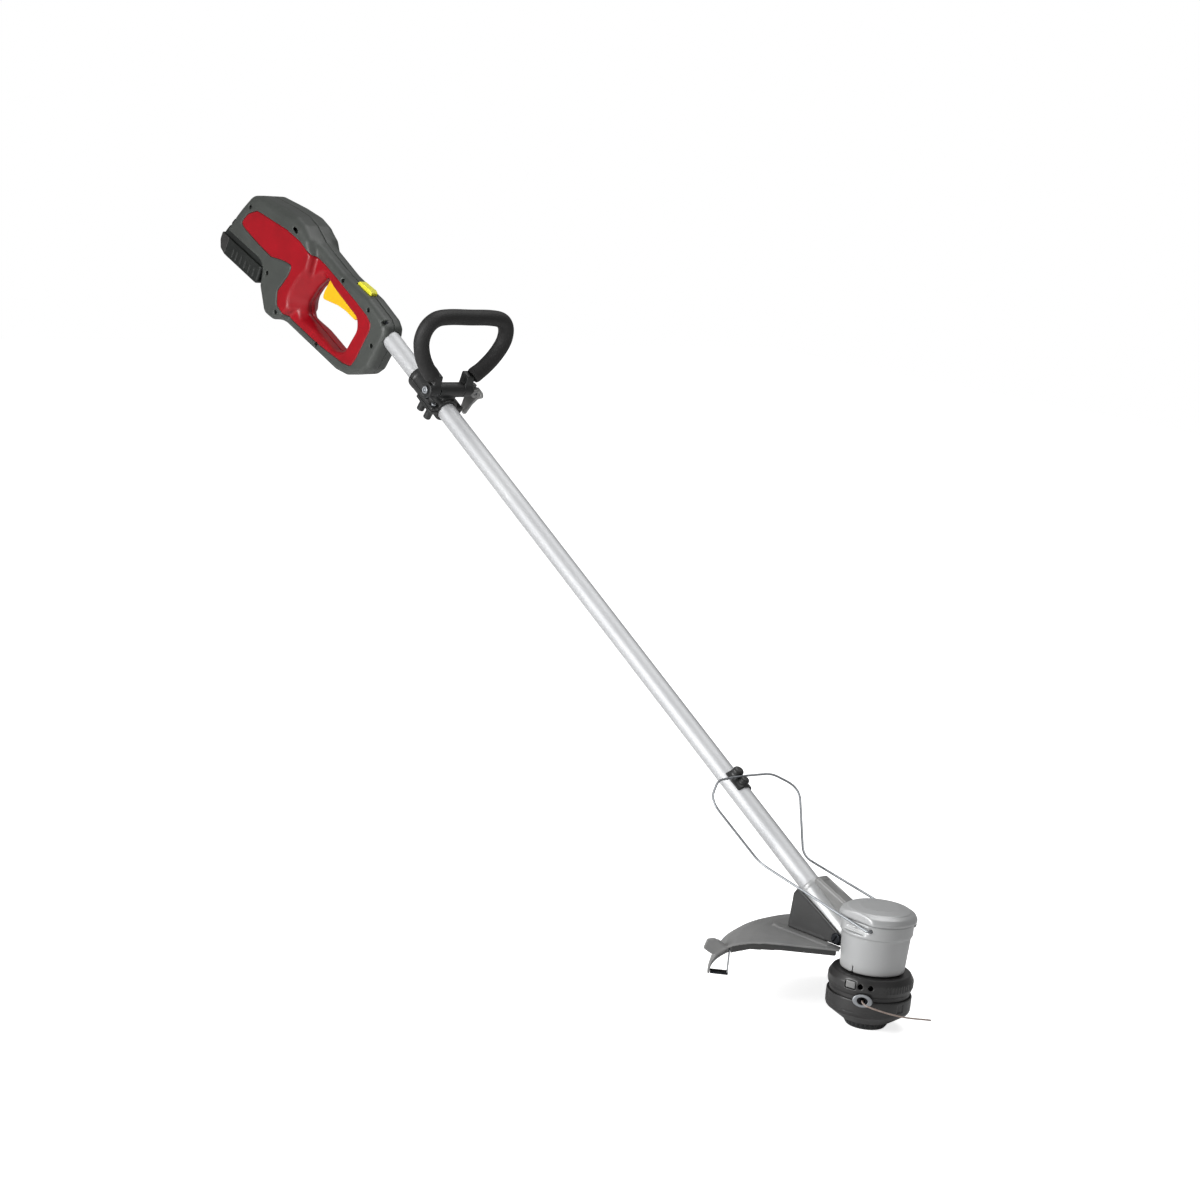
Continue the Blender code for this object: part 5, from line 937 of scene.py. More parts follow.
def clamp_half(side):
    """The upper half has the barrel and its web, the lower one two feet below the screws."""
    low = (CLAMP_FRONT - 0.002, -0.030, -0.020 if side < 0 else -0.001)
    high = (CLAMP_FRONT + CLAMP_LENGTH + 0.002, 0.031, 0.001 if side < 0 else 0.038)
    s, y, u = space(low, high, CLAMP_CELL)
    px, pz = HANDLE_PIVOT.x, HANDLE_PIVOT.z
    front, rear = CLAMP_FRONT, CLAMP_FRONT + CLAMP_LENGTH
    form = bar(s, y, u, (front, 0, 0), (rear, 0, 0), CLAMP_RADIUS, 0.0012)
    lip = bar(s, y, u, (rear - 0.009, 0, 0), (rear, 0, 0), CLAMP_RADIUS + 0.0006, 0.0010)
    form = either_form(form, lip, 0.0006)
    ears = block(s, y, u, (front, -FLANGE_HALF_WIDTH, -FLANGE_THICKNESS),
                 (front + FLANGE_LENGTH, FLANGE_HALF_WIDTH, FLANGE_THICKNESS), 0.0016)
    form = either_form(form, ears, 0.0022)
    if side > 0:
        barrel = bar(s, y, u, (px, -BARREL_HALF_LENGTH, pz), (px, BARREL_HALF_LENGTH, pz), KNUCKLE_RADIUS,
                     0.0008)
        web = block(s, y, u, (px - 0.009, -0.0105, 0.004), (px + 0.009, 0.0105, pz), 0.001)
        slope = s - px + np.maximum(u - 0.012, 0) * 0.4 - 0.040
        rib = both(np.abs(y) - 0.0016, np.maximum(slope, u - 0.021), 0.0006)
        rib = np.maximum(rib, px - s)
        form = either_form(either_form(form, either_form(barrel, web, 0.0015), 0.0025), rib, 0.0015)
        form = without(form, np.hypot(s - px, u - pz) - BOLT_RADIUS - GAP)
    else:
        for place in CLAMP_SCREWS:
            foot = bar(s, y, u, (place, FLANGE_Y, 0), (place, FLANGE_Y, -FOOT_LENGTH), FOOT_RADIUS, 0.0014)
            form = either_form(form, foot, 0.0012)
    for place in CLAMP_SCREWS:
        hole = np.hypot(s - place, y - FLANGE_Y) - 0.0023
        form = without(form, np.maximum(hole, -0.0122 - u))
    form = without(form, np.hypot(y, u) - TUBE_RADIUS - GAP)
    form = np.maximum(form, 0.00015 - side * u)
    made = moulding("clamp_half", form, low, CLAMP_CELL, SHAFT)
    which = "upper" if side > 0 else "lower"
    finished(made, BLACK_NYLON, "black_nylon", "clamp", "handle_clamp_" + which)


def through_bolt():
    """The bolt with its domed head on the right, the lug for the lever on the left and the lever's pin."""
    low = (HANDLE_PIVOT.x - 0.011, -0.047, HANDLE_PIVOT.z - 0.007)
    s, y, u = space(low, (HANDLE_PIVOT.x + 0.011, 0.046, HANDLE_PIVOT.z + 0.007), SMALL_CELL)
    px, pz = HANDLE_PIVOT.x, HANDLE_PIVOT.z
    right = KNUCKLE_START + KNUCKLE_LENGTHS[1] + GAP
    shank = bar(s, y, u, (px, -LEVER_FACE, pz), (px, right + 0.001, pz), BOLT_RADIUS - 0.0001, 0.0004)
    head = bar(s, y, u, (px, right, pz), (px, right + 0.0032, pz), BOLT_HEAD_RADIUS, 0.0012)
    angle = np.arctan2(u - pz, s - px) % (math.pi / 3) - math.pi / 6
    socket = np.maximum(np.hypot(u - pz, s - px) * np.cos(angle) - 0.0025, right + 0.0010 - y)
    lug = block(s, y, u, (px - 0.0018, -LEVER_PIN - 0.0020, pz - 0.0026), (px + 0.0018, -LEVER_FACE + 0.001,
                                                                            pz + 0.0026), 0.0004)
    pin = bar(s, y, u, (px - 0.0095, -LEVER_PIN, pz), (px + 0.0095, -LEVER_PIN, pz), 0.0016, 0.0002)
    form = np.minimum(np.minimum(shank, without(head, socket)), np.minimum(lug, pin))
    made = moulding("through_bolt", form, low, SMALL_CELL, SHAFT)
    finished(made, ZINC_STEEL, "zinc_plated_steel", "clamp", "loop_bolt")


def cam_lever():
    """The lever: a ribbed hub around the pin and a flat finger that lies along the clamp."""
    px, pz = HANDLE_PIVOT.x, HANDLE_PIVOT.z
    low = (px - 0.022, -0.052, pz - 0.045)
    s, y, u = space(low, (px + 0.015, -0.035, pz + 0.009), LEVER_CELL)
    hub = bar(s, y, u, (px - 0.0100, -LEVER_PIN, pz), (px + 0.0100, -LEVER_PIN, pz), LEVER_HUB_RADIUS,
              0.0010)
    outline = [(-0.0200, 0.0010), (-0.0150, 0.0062), (0.0100, 0.0062), (0.0125, -0.0130), (0.0075, -0.0400),
               (-0.0050, -0.0430), (-0.0075, -0.0220), (-0.0120, -0.0080)]
    edge = from_outline(rounded_outline([(px + a, pz + b) for a, b in outline], 0.005), s, u)
    arm = both(edge, np.abs(y + LEVER_PIN + 0.0047) - 0.0021, 0.0012)
    steps = np.abs((u - pz + 0.0012) % 0.0036 - 0.0018) - 0.0006
    ribs = np.maximum(steps, np.maximum(edge + 0.0025, u - pz + 0.024))
    form = without(either_form(hub, arm, 0.0015), np.maximum(ribs, y + LEVER_PIN + 0.0063))
    slot = block(s, y, u, (px - 0.0022, -LEVER_PIN - 0.01, pz - 0.0034), (px + 0.0022, 0, pz + 0.02))
    form = without(form, slot)
    form = without(form, np.hypot(y + LEVER_PIN, u - pz) - 0.0019)
    made = moulding("cam_lever", form, low, LEVER_CELL, SHAFT)
    finished(made, GREY_NYLON_AND_SADDLE_SHADE, "silver_painted_nylon", "clamp_lever", "clamp_lever")


# The lever's grey is its own colour; on the neck saddle the same grey is painted shade on the top of the
# neck.
GREY_NYLON_AND_SADDLE_SHADE = moulded_plastic("moulded_grey_nylon_and_saddle_shade", "#777776", "#858584", 0.38, 0.0012, "#a0a09f", 1.50)
clamp_half(1)
clamp_half(-1)
through_bolt()
cam_lever()
seats = [SHAFT @ Vector((place, FLANGE_Y, 0.0055)) for place in CLAMP_SCREWS]
clamp_screws = copied_onto("clamp_screws", seats, screw(0.0036, 0.0030, 0.0019, 0.0170), ZINC_STEEL,
                           tuple(SHAFT.to_euler()))
finished(clamp_screws, ZINC_STEEL, "zinc_plated_steel", "clamp", "clamp_screw_1", "clamp_screw_2")


# Wire guard. One steel wire, 3 mm thick and bent cold, hooks into both sides of the motor housing and
# can be swung down over the line. A black nylon clip on the tube holds its crossbar when it is up.
WIRE_RADIUS = 0.0015
GUARD_PIVOT = (0.0228, 0.1279)
GUARD_LEG = 0.0428
GUARD_BEND = 0.034
BEND_STEPS = 8
CLIP_CENTRE = 0.303
CLIP_LENGTH = 0.030
CLIP_WALL = 0.0025
CLIP_CHANNEL = 0.0022


def bent_wire(points, radius):
    """A route with round bends, as a wire takes them around a former."""
    points = [Vector(p) for p in points]
    out = [points[0]]
    for before, here, after in zip(points, points[1:], points[2:]):
        out += bend(before, here, after, radius, BEND_STEPS)
    return out + [points[-1]]


def guard_wire():
    """The wire from one side of the motor housing over the tube to the other."""
    over = SHAFT @ Vector((CLIP_CENTRE, 0, TUBE_RADIUS + CLIP_WALL + WIRE_RADIUS + 0.0006))
    half = [(GUARD_PIVOT[0], 0.0365, GUARD_PIVOT[1]), (GUARD_PIVOT[0], GUARD_LEG, GUARD_PIVOT[1]),
            (-0.1665, 0.0389, 0.1608), (-0.2230, 0.0800, 0.2305), (-0.2440, 0.0480, over.z + 0.0010),
            (over.x, 0.0130, over.z)]
    whole = half + [(x, -y, z) for x, y, z in reversed(half)]
    made = swept("guard_wire_bent", bent_wire(whole, GUARD_BEND), lambda share: WIRE_RADIUS, 20)
    finished(made, ZINC_STEEL, "zinc_plated_steel", "wire_guard", "guard_wire")


def wire_clip():
    """A split ring on the tube with two lobes on top, and between them the notch for the crossbar."""
    low = (CLIP_CENTRE - 0.017, -0.018, -0.018)
    s, y, u = space(low, (CLIP_CENTRE + 0.017, 0.018, 0.025), MIDDLE_CELL)
    start, end = CLIP_CENTRE - CLIP_LENGTH / 2, CLIP_CENTRE + CLIP_LENGTH / 2
    form = bar(s, y, u, (start, 0, 0), (end, 0, 0), TUBE_RADIUS + CLIP_WALL, 0.0009)
    crown = TUBE_RADIUS + 0.0095
    knob = bar(s, y, u, (end - 0.0068, 0, 0.004), (end - 0.0068, 0, crown), 0.0074, 0.0040)
    lug = bar(s, y, u, (start + 0.0080, 0, 0.004), (start + 0.0080, 0, crown - 0.0012), 0.0062, 0.0034)
    form = either_form(form, np.minimum(knob, lug), 0.0020)
    crossing = np.hypot(s - CLIP_CENTRE, u - TUBE_RADIUS - CLIP_WALL - 0.0021) - CLIP_CHANNEL
    form = without(form, np.minimum(crossing, block(s, y, u, (CLIP_CENTRE - CLIP_CHANNEL + 0.0004, -1,
                                                             TUBE_RADIUS + CLIP_WALL + 0.002),
                                                    (CLIP_CENTRE + CLIP_CHANNEL - 0.0004, 1, 1))), 0.0006)
    form = without(form, np.hypot(y, u) - TUBE_RADIUS - GAP)
    form = without(form, np.maximum(-0.0065 - y, u + 0.005), 0.0006)
    form = without(form, np.maximum(0.0050 - y, u - 0.0085), 0.0016)
    made = moulding("wire_clip_moulded", form, low, MIDDLE_CELL, SHAFT)
    finished(made, BLACK_NYLON, "black_nylon", "trimmer", "wire_clip")


guard_wire()
wire_clip()


# Motor housing. A silver-painted nylon can with a moulded neck that the tube is pressed into. Its
# sides are milled flat for the legs of the wire guard, which hook into a slot and a raised boss.
MOTOR_CELL = 0.0010
BASE_HEIGHT = 0.0715
RIM_HEIGHT = 0.1345
BASE_RADIUS = 0.0391
CAN_OUTLINE = [(-0.02, BASE_HEIGHT), (BASE_RADIUS, BASE_HEIGHT), (0.0420, 0.1160), (0.0440, 0.1180),
               (0.0440, RIM_HEIGHT), (-0.02, RIM_HEIGHT)]
UPPER_BORE = 0.0380
MOTOR_BORE = 0.0360
NECK_RADIUS = 0.0172
NECK_END = 0.130
CAP_RADIUS = 0.0470
CAP_TOP = 0.1500
SIDE_FLAT = 0.0396
BEARING_RADIUS = 0.0100
BEARING_LOW = 0.0727
BEARING_HIGH = 0.1136
BEARING_HEIGHT = 0.0060
BRACKET_SCREW = (0.0486, -0.0027)
BRACKET_HOLE = 0.0028
SLIT_ANGLE = math.radians(-86.0)
SLOT_START = -0.0130


def painted_silver():
    """Silver paint on nylon: pale grey with fine metal flake, satin, and a little greyer low down."""
    made, tree, shader, place = new_finish("silver_painted_nylon")
    flake = node(tree, "ShaderNodeTexVoronoi", {"Vector": place, "Scale": 2600.0}).outputs["Distance"]
    paint = tones(tree, noise(tree, place, 26.0, 4.0), "#a3a4a5", "#b3b4b4")
    high = node(tree, "ShaderNodeSeparateXYZ", {"Vector": place})
    # Greyer towards the bottom: the paint is mixed with a darker grey, about 30 % at the can's base and
    # none from 82 mm up.
    low_greying = node(tree, "ShaderNodeMapRange", {"Value": high.outputs["Z"], "From Min": 0.070,
                                             "From Max": 0.082, "To Min": 0.30, "To Max": 0.0})
    mixed = node(tree, "ShaderNodeMix", {0: low_greying.outputs["Result"], 6: paint, 7: tint("#8d8c88")},
                 data_type="RGBA")
    feed(tree, shader, {"Base Color": mixed.outputs[2], "Roughness": spread(tree, flake, 0.30, 0.46),
                        "Normal": relief(tree, flake, 0.12, 0.0001), "Metallic": 0.25})
    return made


def along_shaft(x, y, z):
    """The shaft's own coordinates of points near the head."""
    high = z - AXIS_MEET_HEIGHT
    return (-x * math.cos(SHAFT_ANGLE) + high * math.sin(SHAFT_ANGLE), -y,
            x * math.sin(SHAFT_ANGLE) + high * math.cos(SHAFT_ANGLE))


def can_form(x, y, z, grow=0.0):
    """The outside of the can, or a form larger than it by that much."""
    points = [(r + grow * (r > 0), h + grow * (h > BASE_HEIGHT)) for r, h in CAN_OUTLINE]
    return from_outline(rounded_outline(points, 0.0016), np.hypot(x, y), z)


def motor_housing():
    """The can with its neck for the tube, its bearing seat, its side flats and the guard's two seats."""
    low = (-0.132, -0.048, BASE_HEIGHT - 0.003)
    x, y, z = space(low, (0.048, 0.049, 0.166), MOTOR_CELL)
    s, side, u = along_shaft(x, y, z)
    around = np.hypot(x, y)
    neck = bar(s, side, u, (0.028, 0, 0), (NECK_END, 0, 0), NECK_RADIUS, 0.0010)
    collar = bar(s, side, u, (NECK_END - 0.006, 0, 0), (NECK_END, 0, 0), NECK_RADIUS + 0.0005, 0.0009)
    form = either_form(can_form(x, y, z), either_form(neck, collar, 0.0008), 0.0045)
    seat = BEARING_RADIUS + GAP
    hollow = [(-0.02, 0.160), (UPPER_BORE, 0.160), (UPPER_BORE, 0.1165), (MOTOR_BORE, 0.1125),
              (MOTOR_BORE, 0.0750), (seat + 0.0027, 0.0750),
              (seat + 0.0027, BEARING_LOW + BEARING_HEIGHT), (seat, BEARING_LOW + BEARING_HEIGHT),
              (seat, BEARING_LOW), (0.0060, BEARING_LOW), (0.0060, 0.060), (-0.02, 0.060)]
    form = without(form, from_outline(hollow, around, z))
    form = without(form, np.maximum(around - CAP_RADIUS - GAP, RIM_HEIGHT - z))
    form = without(form, bar(s, side, u, (0.0617, 0, 0), (0.16, 0, 0), TUBE_RADIUS + GAP, 0.0002))
    form = without(form, bar(s, side, u, (0.030, 0, 0), (0.072, 0, 0), 0.0045, 0.0002))
    flat = np.maximum(SIDE_FLAT - np.abs(y), np.maximum(np.abs(x) - 0.034, 0.1214 - z))
    form = without(form, flat, 0.0010)
    boss = np.hypot(x - GUARD_PIVOT[0], z - GUARD_PIVOT[1])
    raised = both(boss - 0.0048, np.abs(y - SIDE_FLAT) - 0.0013, 0.0005)
    form = either_form(form, raised, 0.0006)
    slot_end = np.clip((x - SLOT_START) / (GUARD_PIVOT[0] - SLOT_START), 0, 1)
    slot = np.hypot(x - np.clip(x, SLOT_START, GUARD_PIVOT[0]),
                    z - GUARD_PIVOT[1] + 0.0006) - 0.0009 - 0.0014 * slot_end
    form = without(form, np.maximum(slot, y + SIDE_FLAT - 0.0011), 0.0003)
    form = without(form, boss - WIRE_RADIUS - GAP)
    across = x * math.sin(SLIT_ANGLE) - y * math.cos(SLIT_ANGLE)
    outward = x * math.cos(SLIT_ANGLE) + y * math.sin(SLIT_ANGLE)
    slit = np.maximum(np.maximum(np.abs(across) - 0.0007, 0.036 - outward), z - 0.0800)
    form = without(form, slit, 0.0003)
    hole = np.hypot(s - BRACKET_SCREW[0], u - BRACKET_SCREW[1]) - BRACKET_HOLE
    hole = np.maximum(hole, 0.0110 - np.abs(side))
    form = without(form, hole)
    made = moulding("motor_can", form, low, MOTOR_CELL)
    finished(made, SILVER_PAINT, "silver_painted_nylon", "trimmer", "motor_housing")


def neck_saddle():
    """The cover over the neck, where the cable comes out of the tube into the can. Its grey, darker than
    the can's silver, is painted shade on the neck's top.
    """
    low = (-0.133, -0.013, 0.080)
    x, y, z = space(low, (0.0, 0.013, 0.178), PIECE_CELL)
    s, side, u = along_shaft(x, y, z)
    outline = [(NECK_END, 0.0060), (NECK_END - 0.003, 0.0225), (0.100, 0.0275), (0.070, 0.0330),
               (0.052, 0.0375), (0.035, 0.0375), (0.035, 0.0060)]
    edge = from_outline(rounded_outline(outline, 0.004), s, u)
    form = both(edge, np.abs(side) - 0.0100, 0.0040)
    panel = both(np.abs(s - 0.105) - 0.013, np.maximum(np.abs(side) - 0.0055, 0.012 - u), 0.001)
    form = without(form, np.maximum(panel, -edge - 0.0007), 0.0004)
    form = without(form, np.hypot(side, u) - NECK_RADIUS - GAP)
    form = without(form, np.maximum(np.hypot(x, y) - CAP_RADIUS - 0.0006, RIM_HEIGHT - 0.01 - z))
    form = without(form, can_form(x, y, z, 0.0003))
    made = moulding("neck_saddle", form, low, PIECE_CELL)
    # The saddle's grey, darker than the can's silver, is painted shade: the top of the neck faces away from
    # the lamps.
    finished(made, GREY_NYLON_AND_SADDLE_SHADE, "grey_painted_nylon", "trimmer", "neck_cover")


def motor_cap():
    """The lid: a shallow crown with a bright rounded shoulder, cut flat on both sides."""
    low = (-0.050, -0.042, 0.108)
    x, y, z = space(low, (0.050, 0.043, 0.153), MOTOR_CELL)
    seat, lip, top = BEARING_RADIUS + GAP, UPPER_BORE - GAP, CAP_TOP
    base = RIM_HEIGHT + GAP
    profile = [(-0.02, top), (0.024, top - 0.0006, 0.004), (0.038, top - 0.003, 0.005),
               (0.0445, top - 0.007, 0.003), (CAP_RADIUS, top - 0.0115, 0.003),
               (CAP_RADIUS, base, 0.0008), (lip, base, 0.0003), (lip, base - 0.004),
               (lip - 0.0026, base - 0.004), (lip - 0.0026, top - 0.009), (0.030, top - 0.0055),
               (seat + 0.0027, top - 0.004), (seat + 0.0027, BEARING_HIGH), (seat, BEARING_HIGH),
               (seat, BEARING_HIGH + BEARING_HEIGHT + GAP), (-0.02, BEARING_HIGH + BEARING_HEIGHT + GAP)]
    form = from_outline(rounded_outline(profile, 0.0005), np.hypot(x, y), z)
    form = both(form, np.abs(y) - SIDE_FLAT, 0.0014)
    groove = np.maximum(np.abs(np.hypot(x, y) - 0.0395) - 0.0005, 0.138 - z)
    form = without(form, np.maximum(groove, top - 0.0050 - z + 0.0002), 0.0006)
    made = moulding("motor_lid", form, low, MOTOR_CELL)
    finished(made, SILVER_PAINT, "silver_painted_nylon", "trimmer", "motor_cap")


SILVER_PAINT = painted_silver()
motor_housing()
neck_saddle()
motor_cap()


# Cutting head. Two black nylon mouldings that snap together around the spool, a steel eyelet for the
# line with a dark throat, and the ribbed knob that is bumped on the ground.
HEAD_RADIUS = 0.0520
HEAD_TOP = 0.0700
HEAD_WALL = 0.0025
HEAD_CELL = 0.0008
SKIRT_RADIUS = 0.0490
RIM_RADIUS = 0.0518
COVER_LOW = 0.0090
KNOB_RADIUS = 0.0267
MOTOR_SHAFT_RADIUS = 0.0040
EYELET_HALF_WIDTH = 0.0122
EYELET_HALF_HEIGHT = 0.0080
EYELET_HOLE = 0.0053
TAB_ANGLE = math.radians(-76.5)
TAB_HEIGHT = 0.0610
HOLE_ANGLES = (math.radians(-62.0), math.radians(-48.0))
RIB_COUNT = 72
KNOB_RIB_COUNT = 28


def turned_axes(x, y, angle):
    """Distance out from the head's axis at that angle, and sideways from there."""
    return x * math.cos(angle) + y * math.sin(angle), -x * math.sin(angle) + y * math.cos(angle)


def spool_housing():
    """The upper half with its ribs, line holes and latch windows, and the tabs in those windows."""
    low = (-0.054, -0.054, 0.036)
    x, y, z = space(low, (0.054, 0.055, 0.072), HEAD_CELL)
    around = np.hypot(x, y)
    turn = np.arctan2(y, x)
    shaft = MOTOR_SHAFT_RADIUS + GAP
    profile = [(0.0475, HEAD_TOP, 0.002), (HEAD_RADIUS, 0.0625, 0.002), (HEAD_RADIUS, 0.0545, 0.001),
               (0.0500, 0.0490, 0.001), (SKIRT_RADIUS, 0.0480, 0.0006), (SKIRT_RADIUS, 0.0380),
               (SKIRT_RADIUS - HEAD_WALL, 0.0380), (SKIRT_RADIUS - HEAD_WALL, 0.0490),
               (HEAD_RADIUS - HEAD_WALL, 0.0555), (HEAD_RADIUS - HEAD_WALL, 0.0615), (0.0460, 0.0665),
               (0.0110, 0.0665), (0.0110, 0.0600), (shaft, 0.0600), (shaft, HEAD_TOP)]
    form = from_outline(rounded_outline(profile, 0.0004), around, z)
    tabs = []
    for half in (0.0, math.pi):
        for angle in HOLE_ANGLES:
            out, aside = turned_axes(x, y, angle + half)
            hole = np.hypot(aside, z - 0.0605) - 0.0031
            form = without(form, np.maximum(hole, 0.030 - out), 0.0005)
        out, aside = turned_axes(x, y, TAB_ANGLE + half)
        window = both(np.abs(aside) - 0.0072, np.abs(z - TAB_HEIGHT) - 0.0052, 0.0010)
        form = without(form, np.maximum(window, 0.0496 - out), 0.0004)
        tabs.append(both(both(np.abs(aside) - 0.0064, np.abs(z - TAB_HEIGHT) - 0.0044, 0.0008),
                         np.maximum(around - 0.0516, 0.0499 - out), 0.0004))
    rib = np.abs(repeated(turn, 2 * math.pi / RIB_COUNT)) * around - 0.0008
    zone = np.abs(repeated(turn - math.radians(8.0), math.pi)) * around - 0.033
    groove = np.maximum(np.maximum(rib, zone), np.maximum(np.abs(z - 0.0588) - 0.0042, 0.0512 - around))
    form = without(form, groove, 0.0004)
    out, aside = turned_axes(x, y, EYELET_ANGLE)
    form = without(form, np.maximum(np.hypot(aside, z - EYELET_HEIGHT) - EYELET_HOLE, 0.040 - out))
    made = moulding("spool_housing_shell", form, low, HEAD_CELL)
    finished(made, HEAD_BLACK, "black_nylon", "cutting_head", "spool_housing")
    made = moulding("latch_tabs", np.minimum(tabs[0], tabs[1]), low, HEAD_CELL)
    finished(made, TAB_GREY, "black_nylon", "cutting_head", "spool_housing")


def spool_cover():
    """The lower half, a dish with six finger dents and a wide bore for the knob."""
    low = (-0.054, -0.054, COVER_LOW - 0.002)
    x, y, z = space(low, (0.054, 0.055, 0.045), HEAD_CELL)
    around = np.hypot(x, y)
    turn = np.arctan2(y, x)
    inner = SKIRT_RADIUS + GAP
    bore = KNOB_RADIUS + 0.0008
    profile = [(RIM_RADIUS, 0.0430, 0.0006), (RIM_RADIUS, 0.0265, 0.003), (0.0505, 0.0225, 0.003),
               (0.0310, COVER_LOW, 0.002), (bore, COVER_LOW), (bore, COVER_LOW + 0.0025),
               (0.0300, COVER_LOW + 0.0028), (0.0480, 0.0242), (inner, 0.0275), (inner, 0.0430)]
    form = from_outline(rounded_outline(profile, 0.0005), around, z)
    line_low = np.maximum(np.abs(z - 0.0275) - 0.0004, RIM_RADIUS - 0.0006 - around)
    form = without(form, line_low, 0.0005)
    grip = np.abs(repeated(turn, math.pi / 3)) * around - 0.0045
    dent = np.maximum(np.maximum(grip, np.abs(z - 0.0345) - 0.0045), RIM_RADIUS - 0.0009 - around)
    out, aside = turned_axes(x, y, EYELET_ANGLE)
    off_eyelet = np.hypot(aside, z - EYELET_HEIGHT)
    dent = np.maximum(dent, 0.016 - off_eyelet)
    form = without(form, dent, 0.0010)
    form = without(form, np.maximum(off_eyelet - EYELET_HOLE, 0.040 - out))
    made = moulding("spool_cover_shell", form, low, HEAD_CELL)
    finished(made, HEAD_BLACK, "black_nylon", "cutting_head", "spool_cover")


def line_eyelet():
    """The flange is one rolled ring around an oval mouth, and the throat behind it is a dark sleeve."""
    low = (line_out.x * 0.050 - 0.014, line_out.y * 0.050 - 0.014, EYELET_HEIGHT - 0.010)
    x, y, z = space(low, (low[0] + 0.028, low[1] + 0.028, EYELET_HEIGHT + 0.010), FINE_CELL)
    out, aside = turned_axes(x, y, EYELET_ANGLE)
    above = z - EYELET_HEIGHT
    oval = np.hypot(aside / EYELET_HALF_WIDTH, above / EYELET_HALF_HEIGHT)
    edge = (oval - 1) * EYELET_HALF_HEIGHT
    flange = both(edge, np.abs(out - 0.0533) - 0.0012, 0.0010)
    mouth = (np.hypot(aside / 0.0064, above / 0.0046) - 1) * 0.0046
    ring = without(flange, mouth, 0.0012)
    made = moulding("eyelet_ring", ring, low, FINE_CELL)
    finished(made, ZINC_STEEL, "zinc_plated_steel", "cutting_head", "line_eyelet")
    funnel = np.hypot(aside, above) - 0.0032 - 0.4 * np.maximum(out - 0.0508, 0)
    sleeve = both(np.hypot(aside, above) - 0.0050, np.abs(out - 0.0490) - 0.0032, 0.0002)
    # The hole behind the ring is lined with a sleeve in dark black-oxide steel.
    made = moulding("eyelet_throat", without(sleeve, funnel, 0.0003), low, FINE_CELL)
    finished(made, BLACK_OXIDE, "black_oxide_steel", "cutting_head", "line_eyelet")


def bump_knob():
    """The knob with its ribbed rim, and the hub that reaches up into the spool."""
    low = (-0.029, -0.029, -0.002)
    x, y, z = space(low, (0.029, 0.030, 0.043), MIDDLE_CELL)
    around = np.hypot(x, y)
    web, hub, well = 0.0410, 0.0140, MOTOR_SHAFT_RADIUS + 0.001
    profile = [(-0.02, 0.0195), (well, 0.0195), (well, web - GAP), (hub, web - GAP), (hub, 0.0237),
               (0.0250, 0.0237), (KNOB_RADIUS, 0.0215, 0.001), (KNOB_RADIUS, 0.0045, 0.003),
               (0.0235, 0.0, 0.003), (-0.02, 0.0)]
    form = from_outline(rounded_outline(profile, 0.0008), around, z)
    rib = np.abs(repeated(np.arctan2(y, x), 2 * math.pi / KNOB_RIB_COUNT)) * around - 0.0011
    form = without(form, np.maximum(np.maximum(rib, np.abs(z - 0.0055) - 0.0040),
                                    KNOB_RADIUS - 0.0011 - around), 0.0007)
    ring = np.maximum(np.abs(around - 0.0150) - 0.0008, z - 0.0006)
    form = without(form, ring, 0.0006)
    made = moulding("bump_knob_ribbed", form, low, MIDDLE_CELL)
    finished(made, KNOB_BLACK, "black_nylon", "spool", "bump_knob")


HEAD_BLACK = moulded_plastic("moulded_charcoal_nylon", "#212121", "#2d2c2c", 0.38, 0.0012, "#505050", 1.50)
TAB_GREY = moulded_plastic("moulded_grey_nylon_tab", "#6e6e6e", "#7a7a79", 0.40, 0.0012, "#939392", 1.53)
KNOB_BLACK = moulded_plastic("moulded_jet_nylon", "#161818", "#202222", 0.34, 0.0012, "#484a4a", 1.53)
spool_housing()
spool_cover()
line_eyelet()
bump_knob()


# Debris shield. A grey polypropylene dish sector with a lip along both its edges, darkened as painted
# shade, fixed to a dark bracket on the neck. A thin steel blade in its rear corner cuts the line to length.
SHIELD_TOP = 0.0890
SHIELD_RADIUS = 0.1970
SHIELD_ARCH = 0.0060
SHIELD_WALL = 0.0028
SHIELD_ANGLES = (math.radians(131.0), math.radians(226.0))
SHIELD_SKIRT = 0.0415
SHIELD_CELL = 0.0012
SHIELD_SCREWS = (-0.085, -0.112)
SHIELD_HOLE = 0.0023
BLADE_RADIUS = SHIELD_RADIUS - 0.025
BLADE_THICKNESS = 0.0016
BRACKET_BASE = SHIELD_TOP + GAP
BRACKET_WALL = 0.0028
BRACKET_REAR = -0.125
BRACKET_APEX = 0.1410


